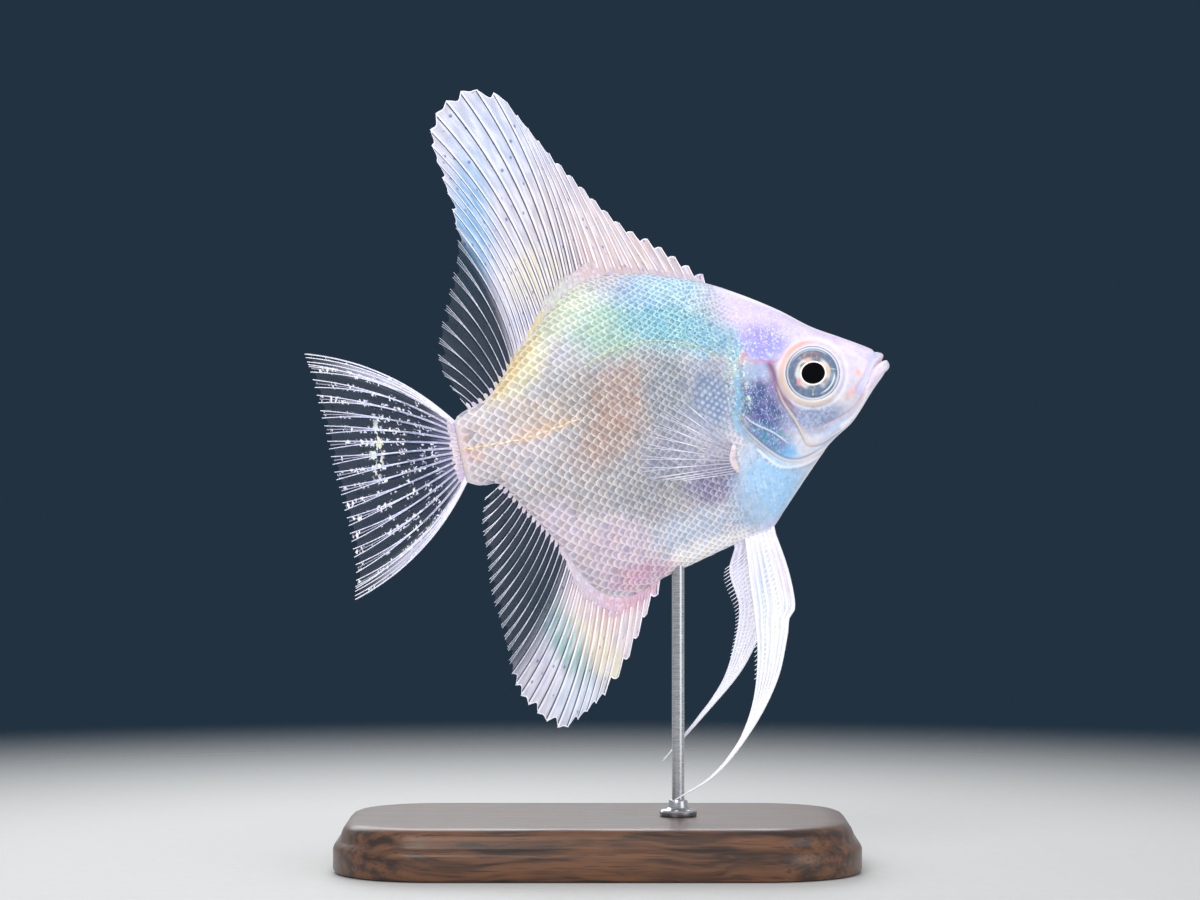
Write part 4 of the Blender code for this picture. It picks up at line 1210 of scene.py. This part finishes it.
def pigment(finish, colour, where):
    """Pigment cells behind the eye, in a strip behind the gill cover and on the nape."""
    shade, pick, _ = finish.parts(finish.cells(2.9, where=where, output="Color"))
    grain = finish.cells(2.9, where=where)
    behind_eye = finish.patch(where, (50.4, 7.2), (5.4, 4.2), -15)
    cells = finish.mix(shade.fade(0.35, 0.6), (100, 136, 238), (178, 146, 238))
    cells = finish.mix(pick.fade(0.55, 0.68), cells, (222, 240, 255))
    colour = finish.mix(behind_eye * 0.65, colour, (150, 128, 216))
    colour = finish.mix(behind_eye * grain.fade(0.72, 0.25, 0.0, 0.75), colour, cells)
    strip = finish.patch(where, (45.0, 1.5), (2.6, 9.5), -8, edge=0.5)
    cells = finish.mix(shade.fade(0.4, 0.55), (108, 188, 218), (192, 214, 150))
    cells = finish.mix(pick.fade(0.6, 0.7), cells, (232, 248, 250))
    cells = finish.mix(pick.fade(0.2, 0.12), cells, (110, 120, 140))
    colour = finish.mix(strip * grain.fade(0.7, 0.3, 0.0, 0.75), colour, cells)
    nape = finish.patch(where, (50, 11), (15, 6), -33)
    cells = finish.mix(shade.fade(0.35, 0.65), (246, 234, 255), (216, 190, 236))
    return finish.mix(nape * grain.fade(0.6, 0.35, 0.0, 0.45), colour, cells)


def gill_pigment(finish, colour, where):
    """Specks on the breast, and the gill cover's violet, its net of pale lines and its flecks."""
    breast = finish.patch(where, (46, -17), (8, 9), 0, edge=0.6)
    specks = finish.cells(1.5).fade(0.20, 0.10) * breast
    colour = finish.mix(specks * 0.5, colour, (96, 122, 166))
    gill = finish.patch(where, (49, -4), (6, 9), 10, edge=0.6)
    violet = finish.noise(0.9, 2).fade(0.48, 0.62) * gill
    colour = finish.mix(violet * 0.35, colour, (136, 108, 184))
    curl = finish.noise(0.8, 0, where=finish.moved(3, 0, 9), stretch=(1.3, 1, 0.8))
    net = abs(curl - 0.5).fade(0.04, 0.0)
    cheek = finish.patch(where, (55.5, -6.5), (8, 5), -15)
    colour = finish.mix(net * (gill * 0.35).larger(cheek * 0.35), colour, (170, 192, 228))
    haze = finish.noise(1.6, 2).fade(0.45, 0.62) * cheek
    colour = finish.mix(haze * 0.35, colour, (196, 204, 236))
    dash = finish.cells(1.5, stretch=(1.5, 0.6, 0.75)).fade(0.24, 0.10)
    fleck = finish.cells(2.9, stretch=(1.0, 1.0, 0.6)).fade(0.30, 0.14)
    fleck = (fleck * finish.noise(0.8, 2).fade(0.40, 0.54)).larger(dash)
    return finish.mix(fleck * (gill * 0.8), colour, (164, 208, 240))


def skin_finish():
    finish = Finish("pearl_skin_look", 0.38, Coat_Weight=0.3, Coat_Roughness=0.15, Specular_IOR_Level=0.45)
    finish.set("Base Color", body_colour(finish)[0])
    finish.bump(finish.noise(3.2, 3), 0.25, 0.06)
    return finish.material


def scale_finish():
    """Scales: a thin pale rim round a middle with painted shade, a painted shadow at the front under the
    scale ahead and a painted highlight towards the free edge; dark strokes and bright sparks on the
    shoulder, bright middles behind the gill cover."""
    finish = Finish("scale_look", 0.32, Coat_Weight=0.35, Coat_Roughness=0.12, Specular_IOR_Level=0.5)
    colour, where = body_colour(finish)
    back, up, tint = finish.own("scale")
    reach = finish.math("SQRT", back * back + up * up)
    shoulder = finish.patch(where, (36, 14), (13, 11), -10)
    by_gill = finish.patch(where, (40.5, -1), (6.0, 9), 0, edge=0.1)
    breast = finish.patch(where, (47, -16), (7, 10), 0, edge=0.6)
    plain = (1.0 - by_gill.larger(breast)) * finish.parts(where)[0].fade(47.5, 41.5, 0.15, 1.0)
    # Each scale its own shade, from cool to warm
    cool = finish.mix(tint.fade(0.1, 0.9), (226, 240, 255), (255, 244, 232))
    colour = finish.shade(0.35, colour, cool)
    value = finish.math("FRACT", tint * 7.3).fade(0.0, 1.0, 0.92, 1.06)
    colour = finish.mix(1.0, colour, finish.joined(value, value, value), "MULTIPLY")
    # Painted shade across the middle, a painted shadow at the front under the free edge of the scale ahead,
    # a painted soft highlight towards the free edge, and a thin pale rim in places
    patchy = finish.noise(0.8, 2).fade(0.36, 0.62)
    colour = finish.shade(reach.fade(0.85, 0.45) * plain * 0.72, colour, (198, 196, 202))
    colour = finish.shade(back.fade(0.15, -0.6) * plain * 0.6, colour, (176, 180, 196))
    light = finish.mix(shoulder, (250, 244, 240), (226, 250, 236))
    glint = back.fade(0.15, 0.7) * reach.fade(1.0, 0.7)
    colour = finish.mix(glint * patchy * 0.22, colour, light)
    strokes = finish.noise(2.2, 2).fade(0.45, 0.58)
    colour = finish.shade(shoulder * strokes * reach.fade(0.95, 0.5) * 0.6, colour, (146, 188, 214))
    sparks = finish.noise(2.6, 2, where=finish.moved(5, 5, 5)).fade(0.58, 0.68)
    colour = finish.mix(sparks * shoulder * 0.6, colour,
                        finish.mix(tint.fade(0.4, 0.6), (236, 250, 200), (196, 244, 252)))
    rim = reach.fade(0.74, 0.92) * back.fade(-0.5, 0.3)
    rim = rim * (plain * patchy.fade(0.0, 1.0, 0.35, 1.0))
    rear = finish.patch(where, (14, -1), (14, 16), 0, edge=0.5)
    colour = finish.mix(rim * rear.fade(0.0, 1.0, 0.40, 0.56), colour, light)
    off = finish.vector("LENGTH", finish.joined(back - 0.45, up * 0.9, 0.0))
    colour = finish.mix(off.fade(0.55, 0.1) * by_gill * 0.5, colour, (200, 216, 240))
    finish.set("Base Color", colour)
    ridges = finish.math("SINE", reach * 42.0)
    finish.bump(ridges * 0.3 + finish.noise(5.0, 2), 0.2, 0.03)
    return finish.material


FIN_BASE = (206, 203, 218)
FIN_PATCHES = [
    ((206, 188, 188), (36, 27), (14, 9), -40, 0.95),
    ((206, 192, 196), (24, 31), (10, 14), 10, 0.8),
    ((228, 216, 184), (17, 25), (7, 7), 0, 0.75),
    ((196, 206, 230), (14, 48), (10, 12), 0, 0.8),
    ((128, 174, 214), (8.5, 35), (5, 16), -8, 0.95),
    ((216, 198, 200), (20, -33), (7, 8), 20, 0.9),
    ((206, 158, 182), (22, -29), (9, 2.6), 10, 0.8),
    ((218, 214, 180), (14.5, -36), (4.5, 11), 20, 0.85),
    ((140, 180, 176), (9.5, -33), (4.0, 13), 15, 0.85),
    ((206, 222, 240), (9, -43), (6, 5), 20, 0.6),
    ((138, 144, 206), (-4, 0), (6, 9), 0, 0.8),
]
PELVIC_PATCHES = [
    ((232, 216, 236), (46, -29), (2.2, 8), -5, 0.8),
    ((196, 212, 244), (42.5, -31), (1.8, 8), -12, 0.9),
    ((206, 220, 246), (38.5, -42), (2, 9), -30, 0.6),
]
BEAD_PATCHES = [
    ((222, 200, 202), (-2.4, 0.4), (3.0, 5.0), 0, 0.8),
    ((204, 186, 140), (12, 15), (13, 8), 45, 1.0),
    ((202, 178, 178), (27, 24), (9, 4), 0, 0.8),
    ((190, 202, 186), (20, 21), (6, 4), 20, 0.7),
    ((206, 156, 178), (23, -28), (10, 7), 10, 0.9),
    ((198, 180, 198), (10, -16), (6, 8), 40, 0.8),
]


def web_finish(name="fin_web_look", base=FIN_BASE, patches=FIN_PATCHES, dark=0.95, white=0.9,
               ray_shadow_tone=(58, 62, 88)):
    """A fin's skin between its rays: milky or clear as its web says, a pale line and a painted shadow line
    by each ray, white triangles at the roots, rows of specks, and a bright rim. dark is the strength of the
    specks and of the painted shadow lines."""
    finish = Finish(name, 0.4, Specular_IOR_Level=0.4)
    ray, share, rim = finish.own("fin")
    gap, run, milk = finish.own("web")
    colour = finish.painted(base, patches, finish.spot)
    past = finish.math("FRACT", ray)
    behind = past * gap
    ahead = (1.0 - past) * gap
    nearest = finish.math("MINIMUM", behind, ahead)
    streak = finish.noise(1.0, 3, where=finish.joined(ray * 2.2, 0.0, run * 0.22))
    colour = finish.mix(streak.fade(0.45, 0.68, 0.0, 0.35), colour, (246, 244, 252))
    colour = finish.mix(finish.noise(0.45, 3).fade(0.5, 0.68, 0.0, 0.4), colour, (176, 188, 222))
    rows = finish.joined(ray * 1.5, 0.0, run * 0.62)
    dots = finish.cells(1.0, where=rows, jitter=0.8).fade(0.25, 0.12) * finish.noise(0.3, 2).fade(0.32, 0.46)
    colour = finish.mix(dots * (0.9 * dark), colour, (112, 120, 162))
    # Painted shadow: a dark line beside each ray, and one on its other side near the root; pinkish-tan where
    # warm
    line = behind.fade(0.12, 0.20) * behind.fade(0.46, 0.34)
    warm = finish.patch(finish.spot, (36, 27), (16, 12), -40, edge=0.6)
    warm = warm.larger(finish.patch(finish.spot, (18, -33), (9, 13), 30, edge=0.6))
    second = ahead.fade(0.12, 0.18) * ahead.fade(0.36, 0.26)
    line = line.larger(second * share.fade(0.4, 0.15))
    colour = finish.mix(line * dark, colour, finish.mix(warm, ray_shadow_tone, (206, 158, 148)))
    solid = milk.fade(0.1, 0.6)
    pale = nearest.fade(0.20, 0.10) * solid.fade(0.0, 1.0, 0.04, 1.0)
    root = (nearest - share.fade(0.15, 0.0) * 0.30).fade(0.08, -0.02, 0.0, 0.75)
    edge = rim.fade(0.28, 0.10) * solid
    fleck, pearl = tail_flecks(finish, ray, nearest)
    bright = root.larger(edge).larger(pale.larger(fleck)) * white
    finish.set("Base Color", finish.mix(bright, colour, pearl))
    body = milk.fade(0.0, 1.0, 0.02, 0.93) * streak.fade(0.25, 0.6, 0.8, 1.05)
    finish.set("Alpha", body.larger(bright))
    finish.bump(streak, 0.25, 0.05)
    return finish.material


def tail_flecks(finish, ray, nearest):
    """The tail fin's bright flecks, thickest in a band across it, and the colours that bright marks take."""
    band = finish.patch(finish.spot, (-13.8, 3.6), (2.0, 9.5), -10, edge=0.2)
    tail = finish.parts(finish.spot)[0].fade(-3.0, -5.0)
    sown = (finish.noise(0.55, 3).fade(0.45, 0.55) * 0.6).larger(band)
    flow = finish.joined(finish.parts(finish.spot)[0], 0.0, ray * 1.3)
    grain = finish.noise(2.4, 4, where=flow).fade(0.50, 0.58)
    fleck = grain * tail * (sown.fade(0.35, 0.6) * nearest.fade(0.75, 0.35))
    clump = finish.noise(1.1, 3, stretch=(1.0, 0.0, 0.6)).fade(0.50, 0.56)
    clump = clump * finish.patch(finish.spot, (-13.9, 3.0), (1.5, 6.5), -12, edge=0.4) * tail
    tones = finish.mix(grain.fade(0.4, 0.6), (232, 230, 176), (196, 236, 246))
    return fleck.larger(clump), finish.mix(clump, (248, 247, 255), tones)


def ray_finish():
    """Rays: white, faintly violet by the body, bluer on the tail and grey where the fins are clear, jointed;
    and the hatched pad of the pectoral fin's root."""
    finish = Finish("fin_ray_look", 0.35, Coat_Weight=0.2, Coat_Roughness=0.2)
    _, share, run = finish.own("ray")
    colour = finish.mix(share.fade(0.35, 0.0), (244, 243, 252), (236, 228, 246))
    colour = finish.mix(finish.patch(finish.spot, (-14, 0), (14, 24)) * 0.75, colour, (186, 188, 238))
    for centre in ((2, 22), (2, -30)):
        clear = finish.patch(finish.spot, centre, (9, 17), edge=0.6)
        colour = finish.mix(clear * 0.6, colour, (176, 186, 208))
    colour = finish.mix(finish.noise(1.6, 2).fade(0.52, 0.64) * 0.8, colour, (250, 250, 255))
    pad = finish.patch(finish.spot, (42.3, -10.5), (1.2, 3.6))
    hatch = finish.noise(1.0, 2, stretch=(0.5, 1.0, 2.6)).fade(0.40, 0.60)
    colour = finish.mix(pad * 0.95, colour, finish.mix(hatch, (176, 166, 182), (214, 196, 190)))
    joint = finish.math("SINE", run * 11.0)
    colour = finish.mix(joint.fade(0.6, 0.95, 0.0, 0.2), colour, (190, 196, 224))
    finish.set("Base Color", colour)
    finish.bump(joint + finish.noise(4.0, 2), 0.25, 0.03)
    return finish.material


def canal_finish():
    """The lateral line's canal: cream and white with orange between its tubes, and green in front."""
    finish = Finish("canal_look", 0.4, Coat_Weight=0.2, Coat_Roughness=0.2)
    wave = finish.math("SINE", finish.own("ray")[2] * 5.03)
    cream = finish.mix(finish.noise(0.5, 2).fade(0.4, 0.6), (250, 240, 226), (236, 214, 170))
    colour = finish.mix(wave.fade(-0.2, -0.9, 0.0, 0.8), cream, (232, 172, 128))
    front = finish.parts(finish.spot)[0].fade(20.6, 21.4)
    green = finish.mix(wave.fade(0.2, 0.8), (186, 190, 158), (214, 226, 184))
    finish.set("Base Color", finish.mix(front, colour, green))
    finish.bump(finish.noise(4.0, 2), 0.2, 0.03)
    return finish.material


def bead_finish():
    """Small scales on the fins' feet: white, gold, pink and violet."""
    finish = Finish("sheath_look", 0.35, Coat_Weight=0.35, Coat_Roughness=0.12)
    back, up, tint = finish.own("scale")
    reach = finish.vector("LENGTH", finish.joined(back, up, 0.0))
    colour = finish.painted((196, 182, 196), BEAD_PATCHES, finish.spot)
    colour = finish.mix(tint.fade(0.55, 0.7, 0.0, 0.4), colour, (226, 222, 230))
    colour = finish.mix(tint.fade(0.80, 0.86, 0.0, 0.6), colour, (178, 150, 204))
    colour = finish.mix(reach.fade(0.6, 0.95, 0.0, 0.4), colour, (240, 232, 226))
    finish.set("Base Color", colour)
    finish.bump(finish.noise(4.0, 2), 0.2, 0.03)
    return finish.material


IRIS_PATCHES = [
    ((128, 108, 112), (57.4, 3.5), (3.0, 0.9), 0, 0.9),
    ((226, 170, 170), (56.9, 2.7), (0.8, 0.5), 0, 0.8),
    ((214, 216, 218), (54.9, 0.9), (0.8, 1.3), 0, 0.9),
    ((228, 146, 158), (54.7, -0.5), (0.55, 0.8), 0, 0.9),
    ((222, 190, 152), (59.6, 0.6), (0.6, 1.2), 0, 0.9),
    ((92, 100, 124), (58.3, 2.6), (1.5, 0.7), -20, 0.9),
    ((100, 112, 134), (55.9, 2.2), (0.8, 0.5), 30, 0.8),
    ((104, 126, 154), (56.9, -2.0), (2.4, 0.95), -6, 0.97),
    ((134, 144, 150), (59.0, -1.2), (1.0, 0.8), 35, 0.8),
    ((150, 168, 190), (60.2, -1.0), (0.9, 1.6), 0, 0.6),
]
# A short bright line below the pupil and its foot, and one before it
EYE_GLINTS = [
    ((190, 172, 122), (56.6, -2.3), (0.14, 0.6), -8, 0.9),
    ((216, 206, 160), (56.5, -2.8), (0.28, 0.22), 0, 0.8),
    ((206, 212, 218), (60.5, 0.5), (0.9, 0.10), -18, 0.8),
]


def eye_finish():
    """Pupil, thin white ring, cream and rose iris, slate ring with pale arcs painted as highlights, and a
    pale rim.
    """
    finish = Finish("eye_look", 0.3, Coat_Weight=0.12, Coat_Roughness=0.05, Specular_IOR_Level=0.06)
    offset = finish.vector("SUBTRACT", finish.spot, (EYE_AT[0], 0, EYE_AT[2]))
    offset = finish.vector("MULTIPLY", offset, (1, 0, 1))
    radius = finish.vector("LENGTH", offset)
    pupil = finish.vector("LENGTH", finish.vector("MULTIPLY", offset, (0.95, 0, 1.05)))
    x, _, z = finish.parts(offset)
    turn = finish.math("ARCTAN2", z, x)
    where = finish.shaken(0.9, 0.45)
    fibre = finish.noise(1.0, 4, where=finish.joined(turn * 3.2, 0.0, radius * 1.1))
    colour = finish.mix(radius.fade(2.5, 3.0), (222, 206, 200), (104, 120, 146))
    colour = finish.painted(colour, IRIS_PATCHES, where)
    colour = finish.mix(fibre.fade(0.48, 0.72, 0, 0.3), colour, (206, 212, 222))
    colour = finish.mix(fibre.fade(0.42, 0.25, 0, 0.25), colour, (70, 82, 108))
    # Painted highlights: two pale arcs on the eye's clear rim, one low and forward, one on top
    arc = abs(radius - 3.45).fade(0.2, 0.05)
    low = turn.fade(-1.5, -1.1) * turn.fade(-0.1, -0.4)
    colour = finish.mix(arc * (low * 0.85), colour, (232, 240, 248))
    top = turn.fade(0.6, 1.0) * turn.fade(2.6, 2.1)
    arc = abs(radius - 3.75).fade(0.15, 0.03)
    colour = finish.mix(arc * (top * 0.7), colour, (190, 212, 236))
    colour = finish.painted(colour, EYE_GLINTS, finish.spot)
    for away, start, end, tone in ((radius, 3.85, 4.05, (220, 224, 226)),
                                   (radius, 4.15, 4.3, (150, 160, 184)),
                                   (pupil, 2.08, 1.98, (252, 246, 240)), (pupil, 1.83, 1.76, (0, 0, 3))):
        colour = finish.mix(away.fade(start, end), colour, tone)
    finish.set("Base Color", colour)
    finish.bump(fibre, 0.12, 0.04)
    return finish.material


def wood_finish():
    """Dark satin walnut with its grain along the base."""
    finish = Finish("walnut_look", 0.42, posed=False, Coat_Weight=0.35, Coat_Roughness=0.22)
    bend = finish.vector("ADD", finish.vector("MULTIPLY", finish.spot, (0.05, 0.8, 0.8)),
                         finish.vector("SCALE", finish.noise(0.05, 2, output="Color"), 3.0))
    grain = finish.noise(0.9, 6, where=bend)
    pores = finish.noise(1.2, 2, stretch=(0.12, 3.0, 3.0))
    colour = finish.mix(grain.fade(0.36, 0.64), (46, 28, 18), (104, 66, 40))
    finish.set("Base Color", finish.mix(pores.fade(0.56, 0.68, 0.0, 0.7), colour, (26, 15, 9)))
    finish.set("Roughness", grain.fade(0.3, 0.7, 0.36, 0.5))
    finish.bump(pores, 0.25, 0.06)
    return finish.material


def steel_finish():
    """Steel rubbed round the rod with fine abrasive."""
    finish = Finish("steel_look", 0.26, posed=False, Metallic=1.0)
    rub = finish.noise(1.0, 3, stretch=(0.6, 0.6, 9.0))
    finish.set("Base Color", finish.mix(rub.fade(0.3, 0.7), (176, 178, 182), (206, 208, 210)))
    finish.set("Roughness", rub.fade(0.3, 0.7, 0.2, 0.34))
    finish.bump(rub, 0.12, 0.02)
    return finish.material


# ---- Stage ----
# In metres
CAMERA_AWAY, CAMERA_HEIGHT, CAMERA_X = 0.6, 0.067, 0.0004
VIEW_WIDTH = 0.19355


def floor():
    """A pale floor that fades into the backdrop away from the model."""
    mesh = bpy.data.meshes.new("floor")
    spokes, radius = 96, 0.8
    ring = [(radius * math.cos(2 * math.pi * i / spokes), radius * math.sin(2 * math.pi * i / spokes), 0)
            for i in range(spokes)]
    mesh.from_pydata(ring, [], [list(range(spokes))])
    made = in_scene("floor", mesh)
    finish = Finish("floor_look", 0.6, posed=False)
    clouds = finish.noise(0.4, 5).fade(0.4, 0.6, 0.0, 0.06)
    finish.set("Base Color", finish.mix(clouds, (206, 206, 204), (170, 170, 170)))
    finish.set("Alpha", finish.vector("LENGTH", finish.spot).fade(330.0, 90.0))
    mesh.materials.append(finish.material)


def backdrop():
    """Soft grey light all round, and a plain slate backdrop behind the model."""
    world = bpy.data.worlds.new("studio")
    world.use_nodes = True
    bpy.context.scene.world = world
    nodes, links = world.node_tree.nodes, world.node_tree.links
    soft = nodes["Background"]
    soft.inputs["Color"].default_value = (0.93, 0.95, 1.0, 1.0)
    soft.inputs["Strength"].default_value = 0.50
    slate = nodes.new("ShaderNodeBackground")
    slate.inputs["Color"].default_value = linear((34, 50, 64))
    choose = nodes.new("ShaderNodeMixShader")
    links.new(nodes.new("ShaderNodeLightPath").outputs["Is Camera Ray"], choose.inputs[0])
    links.new(soft.outputs[0], choose.inputs[1])
    links.new(slate.outputs[0], choose.inputs[2])
    links.new(choose.outputs[0], nodes["World Output"].inputs["Surface"])


def light(name, where, aim, size, power, colour):
    """An area light, in metres and watts. Only the key, back and fill lights show in reflections."""
    lamp = bpy.data.lights.new(name, "AREA")
    lamp.shape, lamp.size, lamp.size_y = "RECTANGLE", size[0], size[1]
    lamp.energy, lamp.color = power, colour
    made = in_scene(name, lamp)
    made.location = where
    made.rotation_euler = (Vector(aim) - Vector(where)).to_track_quat("-Z", "Y").to_euler()
    made.visible_glossy = name in ("key", "back", "fill")


def camera():
    data = bpy.data.cameras.new("camera")
    data.sensor_width = 36.0
    data.lens = data.sensor_width * CAMERA_AWAY / VIEW_WIDTH
    data.clip_start, data.clip_end = 0.01, 20.0
    made = in_scene("camera", data)
    made.location = (CAMERA_X, -CAMERA_AWAY, CAMERA_HEIGHT)
    made.rotation_euler = (math.radians(90), 0, 0)
    bpy.context.scene.camera = made


def studio():
    camera()
    floor()
    backdrop()
    middle = (0.0, 0.0, 0.065)
    light("key", (-0.22, -0.50, 0.48), middle, (0.35, 0.35), 1.6, (1.0, 0.99, 0.97))
    light("fill", (0.50, -0.42, 0.16), middle, (0.4, 0.5), 1.0, (0.94, 0.97, 1.0))
    light("back", (-0.15, 0.50, 0.36), middle, (0.5, 0.3), 1.5, (0.95, 0.98, 1.0))
    light("low", (0.02, -0.55, 0.01), middle, (0.5, 0.2), 1.6, (0.96, 0.98, 1.0))
    light("top", (0.05, 0.02, 0.62), middle, (0.4, 0.25), 0.8, (1.0, 1.0, 1.0))
    bpy.context.scene.view_settings.view_transform = "Standard"


def fish():
    skin(skin_finish())
    coat = scale_finish()
    x, s = scale_lattice()
    scales("scales_right", -1, x, s, coat)
    scales("scales_left", 1, x, s, coat)
    web, rays = web_finish(), ray_finish()
    fans = median_fins(web, rays)
    bead = bead_finish()
    feet = [("dorsal_sheath_front", 0.5, 1.2, 0), ("dorsal_sheath_rear", 0.5, 3.0, 1),
            ("anal_sheath_front", 0.5, 2.0, 0), ("anal_sheath_rear", 0.5, 3.0, 1),
            ("tail_sheath", -0.3, 1.0, 0)]
    for fan, (name, start, reach, clear) in zip(fans, feet):
        sheath(name, fan, start, reach, clear, bead)
    canal = canal_finish()
    for word, side in (("right", -1), ("left", 1)):
        lateral_line("canal_rear_" + word, side, LATERAL_REAR, 0.14, canal)
        lateral_line("canal_front_" + word, side, LATERAL_FRONT, 0.08, canal)
    thin = web_finish("pectoral_look", base=(160, 168, 212), patches=[], dark=0.2, white=0.12)
    milky = web_finish("pelvic_look", base=(232, 234, 248), patches=PELVIC_PATCHES, dark=0.25,
                       ray_shadow_tone=(186, 184, 226))
    iris = eye_finish()
    for word, side, edges in (("right", -1, PELVIC_RIGHT), ("left", 1, PELVIC_LEFT)):
        blade = Blade(edges, side)
        pelvic_fin(word, blade, milky, rays)
        pelvic_comb(word, blade, rays)
        pectoral_fin(word, side, thin, rays)
        eye(word, side, iris)


fish()
stand(wood_finish(), steel_finish())
studio()
